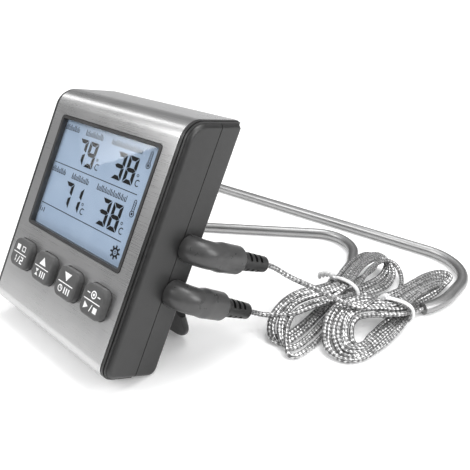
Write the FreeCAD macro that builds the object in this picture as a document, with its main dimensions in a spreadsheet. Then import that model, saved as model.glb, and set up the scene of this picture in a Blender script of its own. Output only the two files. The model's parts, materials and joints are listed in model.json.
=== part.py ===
"""Countertop meat thermometer with two wired probes, as separate pieces.

The case is drawn upright in its own axes: X to the right along its width, Y from the steel face
(Y = 0) to the back, Z up the face. It then leans back on its rear lower edge and its kickstand.
In the finished frame +X runs along the case's width, +Y to the back and +Z up. The origin is on
the table, at the middle of the case and stand. Lengths are in millimetres.
"""
import FreeCAD, Part
import math
import os
import re
from FreeCAD import Placement, Rotation, Vector

SIZES = {
    # case
    "case_half": 38.65, "case_depth": 24.6, "case_floor": -0.7, "lean": 30.28,
    "low_front_radius": 5.0, "low_rear_radius": 4.0, "top_front_radius": 9.0,
    "top_slope": 18.6, "top_height": 92.0, "top_height_at": 12.5,
    "shell_inset": 1.0, "shell_round": 1.6, "parting_front": 13.5, "parting_rear": 13.8,
    "rim_half": 36.4, "rim_inset": 0.15, "bead_half": 37.3, "bead_inset": 0.5,
    "groove_half": 36.62, "hood_end": 22.9, "hood_inset": 1.9, "hood_gap": 0.2,
    "inner_half": 36.8, "inner_inset": 2.4, "back_wall": 1.8, "roof_wall": 1.7, "top_rear_round": 1.5,
    # steel face panel and display
    "steel_half": 35.2, "steel": 0.5, "steel_gap": 0.15, "steel_foot": 7.5,
    "window_half": 29.5, "window_low": 33.4, "window_high": 78.1, "window_round": 1.5,
    "bezel": 1.2, "bezel_proud": 0.25, "fit_gap": 0.2, "lens_back": 1.7, "lens_set": 0.35,
    "glass_half": 31.0, "glass_low": 30.6, "glass_high": 79.4, "glass_front": 2.5,
    "glass": 1.4, "backlight": 2.0, "strip": 2.0, "lcd_frame": 1.5,
    # keys
    "key_pitch": 16.0, "key_height": 21.7, "key_wide": 12.0, "key_tall": 11.0, "key_round": 3.0,
    "key_proud": 2.5, "key_gap": 0.3, "key_flange": 0.8, "key_back": 3.7, "key_soft": 0.9,
    "pill": 0.6, "pill_radius": 2.6, "mat_half": 33.0, "mat_margin": 1.8,
    # boards
    "board_front": 6.0, "board": 1.6, "board_half": 34.0, "board_low": 5.0, "board_high": 86.4,
    "rear_board_front": 12.6, "rear_board_left": -24.0, "rear_board_right": 36.4,
    "rear_board_low": 28.4, "rear_board_high": 52.0, "header_half": 6.0, "header_tall": 2.5,
    "buzzer_radius": 6.5, "buzzer": 3.2, "blob_radius": 6.0, "blob": 1.4,
    # sockets and plugs
    "socket_back": 17.4, "socket_high": 48.3, "socket_low": 32.0, "socket_side": 6.0,
    "socket_inner": 24.0, "socket_outer": 36.6, "pin_radius": 1.25, "pin_run": 0.05,
    "pin_length": 11.5, "pin_hold": 3.0, "pin_collar": 2.0, "plug_gap": 0.35, "plug_radius": 4.9,
    "plug_bend": 6.3, "plug_belly": 5.4, "plug_flare": 3.0, "plug_barrel": 8.6,
    "plug_nose": 1.8, "boot": 14.2, "boot_thick": 3.7, "boot_thin": 3.1, "boot_slot": 1.3,
    "boot_web": 1.5, "boot_tip": 1.0, "plug_splay": 7.0,
    "high_plug_droop": 2.5, "low_plug_droop": -2.5, "slot_start": 2.4, "slot_pitch": 3.0,
    "collar_back": 1.2,
    # batteries
    "cell_radius": 5.25, "cell_length": 44.5, "cell_back": 16.3, "cell_low": 60.2,
    "cell_high": 71.2, "bay_half": 24.6, "bay_low": 54.0, "bay_high": 77.5, "bay_front": 10.7,
    "bay_wall": 1.2, "contact": 0.4, "spring_radius": 3.2, "spring_tip": 1.6, "door_half": 23.8,
    "door": 1.7, "door_gap": 0.3, "nub_radius": 2.6, "nub": 0.8,
    "grip_start": 4.0, "grip_pitch": 1.6, "grip_half": 7.0,
    # screws
    "screw_radius": 1.0, "screw_head": 2.2, "screw_head_tall": 1.6, "screw_length": 10.0,
    "screw_seat": 17.9, "low_screw": 29.0, "low_screw_height": 11.3, "high_screw": 32.5,
    "high_screw_height": 83.4, "boss_radius": 2.4, "board_screw_length": 4.0,
    "board_screw_apart": 12.0,
    # kickstand
    "stand_floor": 19.6, "stand_backing": 18.2, "hinge_back": 21.8, "hinge_height": 33.0,
    "stand_pin": 0.9, "pin_reach": 2.5, "stand_barrel": 1.75, "stand_neck": 18.5, "stand_half": 35.5,
    "stand_thick": 2.6, "stand_length": 28.05, "stand_corner": 7.5, "stand_open": 42.5,
    "stand_shoulder": 15.0, "stand_gap": 0.4, "recess_low": 3.6, "backing_slope": 9.4,
    # switches
    "switch_height": 44.0, "switch_left": -18.0, "switch_right": -2.0, "switch_half": 4.5,
    "switch_tall": 5.0, "switch_back": 19.8, "knob_half": 1.7, "knob_tall": 1.1,
    "knob_throw": 3.0, "knob_proud": 24.3, "slot_deep": 17.2,
    # sound holes
    "sound_side": 17.0, "sound_circle": 3.2, "sound_hole": 0.6,
    # magnets
    "magnet_radius": 5.0, "magnet": 1.6, "magnet_apart": 20.0, "magnet_height": 85.2,
    # probes, cords and ties, lying on the table
    "probe": 2.5, "probe_thin": 1.6, "probe_taper": 8.0, "probe_tip": 3.0,
    "far_bend": 22.0, "far_sweep": 40.0, "near_bend": 18.0, "near_sweep": 12.0,
    "cord": 1.1, "hank_half_high": 5.2, "hank_centre_high": 6.2, "tie_wide": 2.4, "tie": 0.8,
    # from the case's rear lower edge to the origin
    "origin_back": 15.25,
}

doc = FreeCAD.newDocument("meat_thermometer")
sheet = doc.addObject("Spreadsheet::Sheet", "Sizes")
for row, (alias, number) in enumerate(SIZES.items(), start=1):
    sheet.set(f"A{row}", alias)
    sheet.set(f"B{row}", str(number))
    sheet.setAlias(f"B{row}", alias)
doc.recompute()

NODES = []


def bound(text):
    """The expression with every size's name pointed at its cell."""
    return re.sub(r"[a-z][a-z_]*", lambda name: "Sizes." + name.group(0), str(text))


def value(text):
    """The number that an expression of size names comes to."""
    return float(sheet.evalExpression(bound(text)))


LEAN = Rotation(Vector(1, 0, 0), -value("lean"))
REAR_EDGE_RADIUS = value("low_rear_radius - shell_inset")
REAR_EDGE = Vector(
    0,
    value("case_depth - low_rear_radius") + REAR_EDGE_RADIUS * math.sin(math.radians(value("lean"))),
    value("case_floor + low_rear_radius") - REAR_EDGE_RADIUS * math.cos(math.radians(value("lean"))),
)
TABLE = Placement(Vector(0, -value("origin_back"), 0), Rotation())
CASE = Placement(TABLE.Base - LEAN.multVec(REAR_EDGE), LEAN)


# ---------------------------------------------------------------- building helpers

def new_body(label, place=CASE):
    """A part-design body that becomes the node of that name."""
    piece = doc.addObject("PartDesign::Body", label)
    piece.Label = label
    piece.AllowCompound = True
    piece.Placement = place
    NODES.append(piece)
    return piece


def box(piece, name, x, y, z, cut=False):
    """A block between two expressions along each axis."""
    feature = piece.newObject("PartDesign::SubtractiveBox" if cut else "PartDesign::AdditiveBox", name)
    for size, base, (low, high) in zip(("Length", "Width", "Height"), "xyz", (x, y, z)):
        feature.setExpression(size, bound(f"({high}) - ({low})"))
        feature.setExpression(f"Placement.Base.{base}", bound(low))
    doc.recompute()
    return feature


TURNS = {
    "x": Rotation(Vector(0, 1, 0), 90),
    "y": Rotation(Vector(1, 0, 0), -90),
    "z": Rotation(),
}


def rod(piece, name, axis, centre, span, radius, end_radius=None, cut=False):
    """A cylinder or cone along an axis. centre holds the other two axes' expressions, in order."""
    shape = "Cone" if end_radius else "Cylinder"
    kind = "PartDesign::" + ("Subtractive" if cut else "Additive") + shape
    feature = piece.newObject(kind, name)
    feature.Placement = Placement(Vector(), TURNS[axis])
    across = [letter for letter in "xyz" if letter != axis]
    for letter, place in zip(across + [axis], list(centre) + [span[0]]):
        feature.setExpression(f"Placement.Base.{letter}", bound(place))
    feature.setExpression("Height", bound(f"({span[1]}) - ({span[0]})"))
    feature.setExpression("Radius1" if end_radius else "Radius", bound(radius))
    if end_radius:
        feature.setExpression("Radius2", bound(end_radius))
    doc.recompute()
    return feature


PLANES = {"x": "YZ_Plane", "y": "XZ_Plane", "z": "XY_Plane"}


def new_sketch(piece, name, normal, at="0"):
    """A sketch across an axis, at a place along it."""
    sketch = piece.newObject("Sketcher::SketchObject", name)
    plane = next(item for item in piece.Origin.OriginFeatures if item.Role == PLANES[normal])
    sketch.AttachmentSupport = [(plane, "")]
    sketch.MapMode = "FlatFace"
    sign = "-" if normal == "y" else ""
    sketch.setExpression("AttachmentOffset.Base.z", bound(f"{sign}({at})"))
    return sketch


def draw(sketch, start, moves):
    """Lines and arcs from start: a move is (end,) for a line and (middle, end) for an arc."""
    here = Vector(*start, 0)
    for move in moves:
        end = Vector(*move[-1], 0)
        if len(move) == 1:
            sketch.addGeometry(Part.LineSegment(here, end), False)
        else:
            sketch.addGeometry(Part.Arc(here, Vector(*move[0], 0), end), False)
        here = end


def draw_rounded(sketch, centre, wide, tall, radius):
    """A rectangle with round corners."""
    x, y = centre
    side, rise = wide / 2 - radius, tall / 2 - radius
    slant = radius * math.sqrt(0.5)
    corners = [(1, 1), (-1, 1), (-1, -1), (1, -1)]
    moves = []
    for index, (right, up) in enumerate(corners):
        middle = (x + right * (side + slant), y + up * (rise + slant))
        edge_up = (x + right * side, y + up * (rise + radius))
        edge_side = (x + right * (side + radius), y + up * rise)
        first, last = (edge_side, edge_up) if index % 2 == 0 else (edge_up, edge_side)
        moves += [(first,), (middle, last)]
    draw(sketch, moves[-1][-1], moves)


def pad(piece, name, sketch, length, both=False, flip=False, cut=False):
    """An extrusion of a sketch, or a pocket, to one side or to both."""
    feature = piece.newObject("PartDesign::Pocket" if cut else "PartDesign::Pad", name)
    feature.Profile = sketch
    feature.setExpression("Length", bound(length))
    feature.SideType = "Symmetric" if both else "One side"
    feature.Reversed = flip
    before = piece.Shape.Volume if cut else 0
    doc.recompute()
    if cut and not feature.Shape.Volume < before - 1e-6:
        raise RuntimeError(f"{piece.Label}: {name} cuts nothing")
    return feature


def round_edges(piece, name, radius, chosen):
    """A fillet of the edges that pass the test, which gets each edge's middle and its two ends."""
    base = piece.Tip
    names = []
    for index, edge in enumerate(base.Shape.Edges, start=1):
        middle = edge.valueAt((edge.FirstParameter + edge.LastParameter) / 2)
        ends = [edge.valueAt(edge.FirstParameter), edge.valueAt(edge.LastParameter)]
        if chosen(middle, ends):
            names.append(f"Edge{index}")
    feature = piece.newObject("PartDesign::Fillet", name)
    feature.Base = (base, names)
    feature.setExpression("Radius", bound(radius))
    doc.recompute()
    return feature


# ---------------------------------------------------------------- side contour of the case

SLOPE = math.radians(value("top_slope"))


def top_line(inset, y):
    """Height of the sloping top at depth y, that far under the outer surface."""
    at_front = value("top_height") + math.tan(SLOPE) * (y - value("top_height_at"))
    return at_front - inset / math.cos(SLOPE)


def contour(inset, low_end, top_end):
    """The case's side outline, from underneath round the front and over the top."""
    low_radius = value("low_front_radius")
    top_radius = value("top_front_radius")
    base = value("case_floor")
    low_centre = (low_radius, base + low_radius)
    top_centre = (top_radius, top_line(top_radius, top_radius))

    def on_arc(centre, radius, degrees):
        turn = math.radians(degrees)
        return (centre[0] + radius * math.cos(turn), centre[1] + radius * math.sin(turn))

    last = 90 + math.degrees(SLOPE)
    return (low_end, base + inset), [
        (on_arc(low_centre, low_radius - inset, 270),),
        (on_arc(low_centre, low_radius - inset, 225), on_arc(low_centre, low_radius - inset, 180)),
        (on_arc(top_centre, top_radius - inset, 180),),
        (
            on_arc(top_centre, top_radius - inset, (180 + last) / 2),
            on_arc(top_centre, top_radius - inset, last),
        ),
        ((top_end, top_line(inset, top_end)),),
    ]


def backwards(start, moves):
    """The same outline followed from its other end."""
    places = [start] + [move[-1] for move in moves]
    turned = []
    for index in range(len(moves) - 1, -1, -1):
        middle = moves[index][:-1]
        turned.append((*middle, places[index]))
    return places[-1], turned


def solid_contour(sketch, inset, end):
    """The closed outline of everything in front of a depth."""
    start, moves = contour(inset, end, end)
    draw(sketch, start, moves + [(start,)])


def skin_contour(sketch, outer, inner, low_end, top_end):
    """The closed outline of a skin between two insets."""
    start, moves = contour(outer, low_end, top_end)
    inner_end, inner_moves = backwards(*contour(inner, low_end, top_end))
    draw(sketch, start, moves + [(inner_end,)] + inner_moves + [(start,)])


KEYS = {"sel": -1.5, "up": -0.5, "down": 0.5, "set": 1.5}
FRONT_CUT = "4"


def key_outline(sketch, margin):
    """Four rounded key outlines, each larger than the key all round by the margin."""
    for place in KEYS.values():
        draw_rounded(
            sketch,
            (place * value("key_pitch"), value("key_height")),
            value("key_wide") + 2 * margin,
            value("key_tall") + 2 * margin,
            value("key_round") + margin,
        )


def window_outline(sketch, margin):
    """The display opening, smaller all round by the margin."""
    low, high = value("window_low"), value("window_high")
    draw_rounded(
        sketch,
        (0, (low + high) / 2),
        2 * (value("window_half") - margin),
        high - low - 2 * margin,
        max(value("window_round") - margin, 0.4),
    )


def cut_front_openings(piece):
    """The display opening and the four key holes, through the front wall."""
    window = new_sketch(piece, "WindowSketch", "y", "-1")
    window_outline(window, 0)
    pad(piece, "Window", window, FRONT_CUT, flip=False, cut=True)
    keys = new_sketch(piece, "KeySketch", "y", "-1")
    key_outline(keys, value("key_gap"))
    pad(piece, "KeyHoles", keys, FRONT_CUT, flip=False, cut=True)


SCREWS = {
    "LowLeft": ("-low_screw", "low_screw_height"),
    "LowRight": ("low_screw", "low_screw_height"),
    "HighLeft": ("-high_screw", "high_screw_height"),
    "HighRight": ("high_screw", "high_screw_height"),
}
SOUND_HOLES = 6
BOARD_SCREWS = {
    "BoardLeft": ("-board_screw_apart", "board_low + 4"),
    "BoardRight": ("board_screw_apart", "board_low + 4"),
    "BoardTop": ("0", "high_screw_height"),
}


# ---------------------------------------------------------------- front of the case

def make_front_shell():
    """Plastic frame: side cheeks, beaded rim, and a hood that reaches back over the top."""
    piece = new_body("front_shell")
    core = new_sketch(piece, "CoreSketch", "x")
    solid_contour(core, value("shell_inset"), value("parting_front"))
    pad(piece, "Core", core, "2 * case_half", both=True)
    half, parting = value("case_half"), value("parting_front")

    def on_cheek_edge(middle, ends):
        on_side = all(abs(abs(point.x) - half) < 0.01 for point in [middle, *ends])
        return on_side and middle.y < parting - 0.1

    round_edges(piece, "CheekRounding", "shell_round", on_cheek_edge)
    for name, inset, reach in (("Rim", "rim_inset", "rim_half"), ("Bead", "bead_inset", "bead_half")):
        band = new_sketch(piece, name + "Sketch", "x")
        solid_contour(band, value(inset), value("hood_end"))
        pad(piece, name, band, f"2 * {reach}", both=True)
    behind = new_sketch(piece, "BehindSketch", "x")
    front, back, under = value("parting_front"), value("hood_end + 1"), value("hood_inset")
    corners = [(back, -5), (back, top_line(under, back)), (front, top_line(under, front)), (front, -5)]
    draw(behind, corners[-1], [(corner,) for corner in corners])
    pad(piece, "Behind", behind, "2 * case_half + 2", both=True, cut=True)
    for side, at in (("Left", "-groove_half"), ("Right", "rim_half")):
        groove = new_sketch(piece, side + "GrooveSketch", "x", at)
        skin_contour(groove, -0.5, value("shell_inset"), front, value("hood_end + 1"))
        pad(piece, side + "Groove", groove, "groove_half - rim_half", flip=True, cut=True)
    seat = new_sketch(piece, "SteelSeatSketch", "x")
    skin_contour(seat, -0.5, value("steel"), value("steel_foot + 0.2"), value("hood_end + 1"))
    pad(piece, "SteelSeat", seat, "2 * (steel_half + steel_gap)", both=True, cut=True)
    inside = new_sketch(piece, "InsideSketch", "x")
    solid_contour(inside, value("inner_inset"), value("parting_front + 0.5"))
    pad(piece, "Inside", inside, "2 * inner_half", both=True, cut=True)
    cut_front_openings(piece)
    for name, (x, z) in SCREWS.items():
        rod(piece, name + "Boss", "y", (x, z), ("inner_inset - 0.3", "parting_front"), "boss_radius")
        rod(piece, name + "Bore", "y", (x, z), ("inner_inset + 2", "parting_front + 1"),
            "screw_radius", cut=True)
    for name, (x, z) in BOARD_SCREWS.items():
        rod(piece, name + "Post", "y", (x, z), ("inner_inset - 0.3", "board_front"), "screw_radius + 1")
        rod(piece, name + "Hole", "y", (x, z), ("board_front - 2.5", "board_front + 1"),
            "screw_radius", cut=True)


def make_steel_panel():
    """Brushed steel skin, bent round the bottom and over the top."""
    piece = new_body("steel_panel")
    skin = new_sketch(piece, "SkinSketch", "x")
    skin_contour(skin, 0, value("steel"), value("steel_foot"), value("hood_end"))
    pad(piece, "Skin", skin, "2 * steel_half", both=True)
    cut_front_openings(piece)


def make_display():
    """Bezel ring, clear lens, liquid-crystal glass, its strip and frame, and the backlight."""
    bezel = new_body("display_bezel")
    ring = new_sketch(bezel, "RingSketch", "y", "-bezel_proud")
    window_outline(ring, value("fit_gap"))
    window_outline(ring, value("fit_gap + bezel"))
    pad(bezel, "Ring", ring, "glass_front + bezel_proud", flip=True)

    lens = new_body("display_lens")
    pane = new_sketch(lens, "PaneSketch", "y", "lens_set")
    window_outline(pane, value("fit_gap + bezel + 0.05"))
    pad(lens, "Pane", pane, "lens_back - lens_set", flip=True)

    glass = new_body("lcd_glass")
    box(
        glass, "Glass", ("-glass_half", "glass_half"),
        ("glass_front", "glass_front + glass"), ("glass_low", "glass_high"),
    )
    light = new_body("backlight_panel")
    box(
        light, "Panel", ("-glass_half + lcd_frame", "glass_half - lcd_frame"),
        ("glass_front + glass", "board_front - 0.1"), ("glass_low + 2 * strip", "glass_high - lcd_frame"),
    )
    strip = new_body("contact_strip")
    box(
        strip, "Strip", ("-glass_half + 3", "glass_half - 3"),
        ("glass_front + glass", "board_front"), ("glass_low + 0.6", "glass_low + 0.6 + strip"),
    )
    frame = new_body("lcd_frame")
    box(
        frame, "Outside", ("-glass_half - lcd_frame", "glass_half + lcd_frame"),
        ("glass_front", "board_front"), ("glass_low - lcd_frame", "glass_high + lcd_frame"),
    )
    box(
        frame, "Inside", ("-glass_half", "glass_half"),
        ("glass_front - 1", "board_front + 1"), ("glass_low", "glass_high"), cut=True,
    )


def make_keys():
    """Four key caps with their contact pills, and the silicone mat that they stand in."""
    for name, place in KEYS.items():
        x = f"{place} * key_pitch"
        cap = new_body(f"key_{name}")
        outline = new_sketch(cap, "CapSketch", "y", "-key_proud")
        centre = (place * value("key_pitch"), value("key_height"))
        draw_rounded(outline, centre, value("key_wide"), value("key_tall"), value("key_round"))
        pad(cap, "Cap", outline, "key_proud + key_back", flip=True)
        top = -value("key_proud")
        round_edges(cap, "CapEdge", "key_soft", lambda middle, ends: middle.y < top + 0.01)
        box(
            cap, "Flange",
            (f"{x} - key_wide / 2 - key_flange", f"{x} + key_wide / 2 + key_flange"),
            ("key_back - 1", "key_back"),
            ("key_height - key_tall / 2 - key_flange", "key_height + key_tall / 2 + key_flange"),
        )
        pill = new_body(f"contact_pill_{name}")
        rod(pill, "Pill", "y", (x, "key_height"), ("key_back", "key_back + pill"), "pill_radius")
    mat = new_body("keypad_mat")
    box(
        mat, "Mat", ("-mat_half + 4", "mat_half - 4"), ("inner_inset + 0.05", "board_front"),
        ("key_height - key_tall / 2 - mat_margin", "key_height + key_tall / 2 + mat_margin"),
    )
    for name, place in KEYS.items():
        x = f"{place} * key_pitch"
        box(
            mat, f"Well{name.capitalize()}",
            (f"{x} - key_wide / 2 - key_flange - 0.3", f"{x} + key_wide / 2 + key_flange + 0.3"),
            ("0", "board_front + 1"),
            (
                "key_height - key_tall / 2 - key_flange - 0.3",
                "key_height + key_tall / 2 + key_flange + 0.3",
            ),
            cut=True,
        )


# ---------------------------------------------------------------- electronics

def make_boards():
    """Main board behind the display, and the small rear board that carries sockets and switches."""
    board = new_body("main_board")
    box(
        board, "Board", ("-board_half", "board_half"),
        ("board_front", "board_front + board"), ("board_low", "board_high"),
    )
    for name, (x, z) in SCREWS.items():
        rod(board, name + "Hole", "y", (x, z), ("board_front - 1", "board_front + board + 1"),
            "boss_radius + 0.4", cut=True)
    for name, (x, z) in BOARD_SCREWS.items():
        rod(board, name + "Hole", "y", (x, z), ("board_front - 1", "board_front + board + 1"),
            "screw_radius", cut=True)
    back = "board_front + board"
    blob = new_body("chip_blob")
    rod(blob, "Blob", "y", ("-12", "66"), (back, f"{back} + blob"), "blob_radius", "blob_radius / 2")
    buzzer = new_body("buzzer")
    rod(buzzer, "Case", "y", ("10", "key_height - 4"), (back, f"{back} + buzzer"), "buzzer_radius")
    rod(buzzer, "Port", "y", ("10", "key_height - 4"), (f"{back} + buzzer - 1", f"{back} + buzzer + 1"),
        "1.2", cut=True)
    header = new_body("board_header")
    box(
        header, "Block", ("-header_half", "header_half"),
        (back, "rear_board_front"), ("rear_board_high - 4", "rear_board_high - 4 + header_tall"),
    )
    rear = new_body("rear_board")
    box(
        rear, "Board", ("rear_board_left", "rear_board_right"),
        ("rear_board_front", "rear_board_front + board"), ("rear_board_low", "rear_board_high"),
    )
    screws = new_body("board_screws")
    for name, (x, z) in BOARD_SCREWS.items():
        rod(screws, name + "Shank", "y", (x, z), (f"{back} - board_screw_length + 0.2", back),
            "screw_radius - 0.02")
        rod(screws, name + "Head", "y", (x, z), (back, f"{back} + 1.2"), "screw_head - 0.3")


def make_sockets():
    """Two jack sockets on the rear board, open to the case's right side."""
    for name in ("high", "low"):
        z = f"socket_{name}"
        socket = new_body(f"jack_socket_{name}")
        box(
            socket, "Block", ("socket_inner", "socket_outer"),
            ("rear_board_front + board", "rear_board_front + board + socket_side"),
            (f"{z} - socket_side / 2", f"{z} + socket_side / 2"),
        )
        rod(socket, "Bore", "x", ("socket_back", z), ("socket_outer - 10.5", "socket_outer + 1"),
            "pin_radius + pin_run", cut=True)


def make_switches():
    """Power switch and unit switch: housings on the rear board, sliding knobs through the back."""
    for name, x in (("power", "switch_left"), ("unit", "switch_right")):
        housing = new_body(f"{name}_switch_body")
        z_span = ("switch_height - switch_tall / 2", "switch_height + switch_tall / 2")
        middle = f"{x} + knob_throw / 2"
        box(
            housing, "Block", (f"{middle} - switch_half", f"{middle} + switch_half"),
            ("rear_board_front + board", "switch_back"), z_span,
        )
        box(
            housing, "Slot",
            (f"{x} - knob_half - 0.3", f"{x} + knob_throw + knob_half + 0.3"),
            ("slot_deep - 0.3", "switch_back + 1"),
            ("switch_height - knob_tall - 0.3", "switch_height + knob_tall + 0.3"), cut=True,
        )
        knob = new_body(f"{name}_switch_knob")
        box(
            knob, "Stem", (f"{x} - knob_half", f"{x} + knob_half"), ("slot_deep", "knob_proud"),
            ("switch_height - knob_tall", "switch_height + knob_tall"),
        )
        for index in range(3):
            notch = f"{x} + {index - 1} * knob_half / 2"
            box(
                knob, f"Grip{index}", (f"{notch} - 0.2", f"{notch} + 0.2"),
                ("knob_proud - 0.35", "knob_proud + 1"),
                ("switch_height - knob_tall - 1", "switch_height + knob_tall + 1"), cut=True,
            )


# ---------------------------------------------------------------- back of the case

def stand_outline(sketch, margin):
    """Kickstand outline, hinge end up, larger all round by the margin."""
    neck = value("stand_neck") + margin
    half = value("stand_half") + margin
    length = value("stand_length") + margin
    shoulder = value("stand_shoulder") - margin
    corner = value("stand_corner")
    slant = corner * math.sqrt(0.5)
    top, neck_end = value("stand_barrel") + margin, -4 + margin
    right = [
        ((half, -shoulder),),
        ((half, -length + corner),),
        ((half - corner + slant, -length + corner - slant), (half - corner, -length)),
    ]
    left = [
        ((-half + corner, -length),),
        ((-half + corner - slant, -length + corner - slant), (-half, -length + corner)),
        ((-half, -shoulder),),
        ((-neck, neck_end),),
        ((-neck, top),),
    ]
    start = (neck, top)
    draw(sketch, start, [((neck, neck_end),)] + right + left + [(start,)])


def make_rear_cover():
    """Rear shell with battery bay, stand recess, switch slots, socket holes and screw wells."""
    piece = new_body("rear_cover")
    inset, parting, back = value("shell_inset"), value("parting_rear"), value("case_depth - shell_inset")
    centre = (value("case_depth - low_rear_radius"), value("case_floor + low_rear_radius"))
    radius = REAR_EDGE_RADIUS
    slant = radius * math.sqrt(0.5)
    soft = value("top_rear_round")
    start = (parting, value("case_floor") + inset)
    outside = new_sketch(piece, "OutsideSketch", "x")
    draw(outside, start, [
        ((centre[0], start[1]),),
        ((centre[0] + slant, centre[1] - slant), (back, centre[1])),
        ((back, top_line(inset, back) - soft),),
        ((back - soft, top_line(inset, back - soft)),),
        ((parting, top_line(inset, parting)),),
        (start,),
    ])
    pad(piece, "Outside", outside, "2 * case_half", both=True)
    half = value("case_half")

    def on_cheek_edge(middle, ends):
        on_side = all(abs(abs(point.x) - half) < 0.01 for point in [middle, *ends])
        return on_side and middle.y > parting + 0.1

    round_edges(piece, "CheekRounding", "shell_round", on_cheek_edge)
    hood = new_sketch(piece, "HoodSketch", "x")
    under = value("hood_inset + hood_gap")
    front, beyond = parting - 1, back + 2
    over = value("top_height") + 20
    corners = [
        (beyond, top_line(under, beyond)), (beyond, over), (front, over), (front, top_line(under, front)),
    ]
    draw(hood, corners[-1], [(corner,) for corner in corners])
    pad(piece, "HoodRoom", hood, "2 * (bead_half + hood_gap)", both=True, cut=True)
    inside = new_sketch(piece, "InsideSketch", "x")
    floor = value("case_floor + shell_inset + back_wall")
    wall = value("case_depth - shell_inset - back_wall")
    roof, soft_corner = under + value("roof_wall"), 1.5
    corners = [
        (wall - soft_corner, floor), (wall, floor + soft_corner), (wall, top_line(roof, wall)),
        (front, top_line(roof, front)), (front, floor),
    ]
    draw(inside, corners[-1], [(corner,) for corner in corners])
    pad(piece, "Inside", inside, "2 * inner_half", both=True, cut=True)

    backing = new_sketch(piece, "BackingSketch", "y", "stand_backing")
    low, high = value("recess_low - 1.5"), value("hinge_height + 3.6")
    wide, narrow, shoulder = value("inner_half + 0.2"), value("stand_neck + 4"), value("hinge_height - 3.3")
    slope = value("backing_slope")
    corners = [
        (wide, shoulder - slope), (narrow, shoulder), (narrow, high), (-narrow, high),
        (-narrow, shoulder), (-wide, shoulder - slope), (-wide, low), (wide, low),
    ]
    draw(backing, corners[-1], [(corner,) for corner in corners])
    pad(piece, "Backing", backing, "case_depth - shell_inset - back_wall - stand_backing + 0.1", flip=True)
    for name, (x, z) in SCREWS.items():
        rod(piece, name + "Tower", "y", (x, z), ("parting_rear", "case_depth - shell_inset - 0.5"),
            "boss_radius + 1")
    recess = new_sketch(piece, "RecessSketch", "y", "stand_floor")
    recess.setExpression("AttachmentOffset.Base.y", bound("hinge_height"))
    stand_outline(recess, value("stand_gap"))
    pad(piece, "Recess", recess, "6", flip=False, cut=True)
    hinge = ("hinge_back", "hinge_height")
    rod(piece, "PinHole", "x", hinge, ("-stand_neck - pin_reach", "stand_neck + pin_reach"),
        "stand_pin", cut=True)

    wall_low, wall_high = "bay_low - bay_wall", "bay_high + bay_wall"
    box(piece, "BayWalls", ("-bay_half - bay_wall", "bay_half + bay_wall"),
        ("bay_front - bay_wall", "case_depth - shell_inset - 0.5"), (wall_low, wall_high))
    box(piece, "Bay", ("-bay_half", "bay_half"), ("bay_front", "case_depth - shell_inset - door - 0.3"),
        ("bay_low", "bay_high"), cut=True)
    box(piece, "DoorOpening", ("-door_half - door_gap", "door_half + door_gap"), ("20", "case_depth + 1"),
        ("bay_low", "bay_high"), cut=True)

    for name, (x, z) in SCREWS.items():
        rod(piece, name + "Well", "y", (x, z), ("screw_seat", "case_depth + 1"), "screw_head + 0.3", cut=True)
        rod(piece, name + "Clear", "y", (x, z), ("parting_rear - 1", "screw_seat + 0.5"),
            "screw_radius + 0.25", cut=True)
    for name in ("high", "low"):
        rod(piece, f"Entry{name.capitalize()}", "x", ("socket_back", f"socket_{name}"),
            ("inner_half - 1", "case_half + 1"), "pin_collar + 0.3", cut=True)
    for name, x in (("Power", "switch_left"), ("Unit", "switch_right")):
        box(piece, name + "Dish",
            (f"{x} - knob_half - 1.6", f"{x} + knob_throw + knob_half + 1.6"),
            ("case_depth - shell_inset - 0.8", "case_depth + 1"),
            ("switch_height - knob_tall - 1.4", "switch_height + knob_tall + 1.4"), cut=True)
        box(piece, name + "Slot", (f"{x} - knob_half - 0.4", f"{x} + knob_throw + knob_half + 0.4"),
            ("20", "case_depth + 1"),
            ("switch_height - knob_tall - 0.4", "switch_height + knob_tall + 0.4"), cut=True)
    for index in range(SOUND_HOLES):
        turn = 2 * math.pi / SOUND_HOLES * index
        x = f"sound_side + sound_circle * {math.cos(turn):.4f}"
        z = f"switch_height + sound_circle * {math.sin(turn):.4f}"
        rod(piece, f"SoundHole{index}", "y", (x, z), ("20", "case_depth + 1"), "sound_hole", cut=True)
    for name, x in (("Left", "-magnet_apart"), ("Right", "magnet_apart")):
        back_face = "case_depth - shell_inset"
        at = (x, "magnet_height")
        rod(piece, name + "MagnetCup", "y", at, (f"{back_face} - magnet - 1.2", f"{back_face} - 0.5"),
            "magnet_radius + 1")
        rod(piece, name + "MagnetSeat", "y", at, (f"{back_face} - magnet", "case_depth + 1"),
            "magnet_radius", cut=True)


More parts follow.
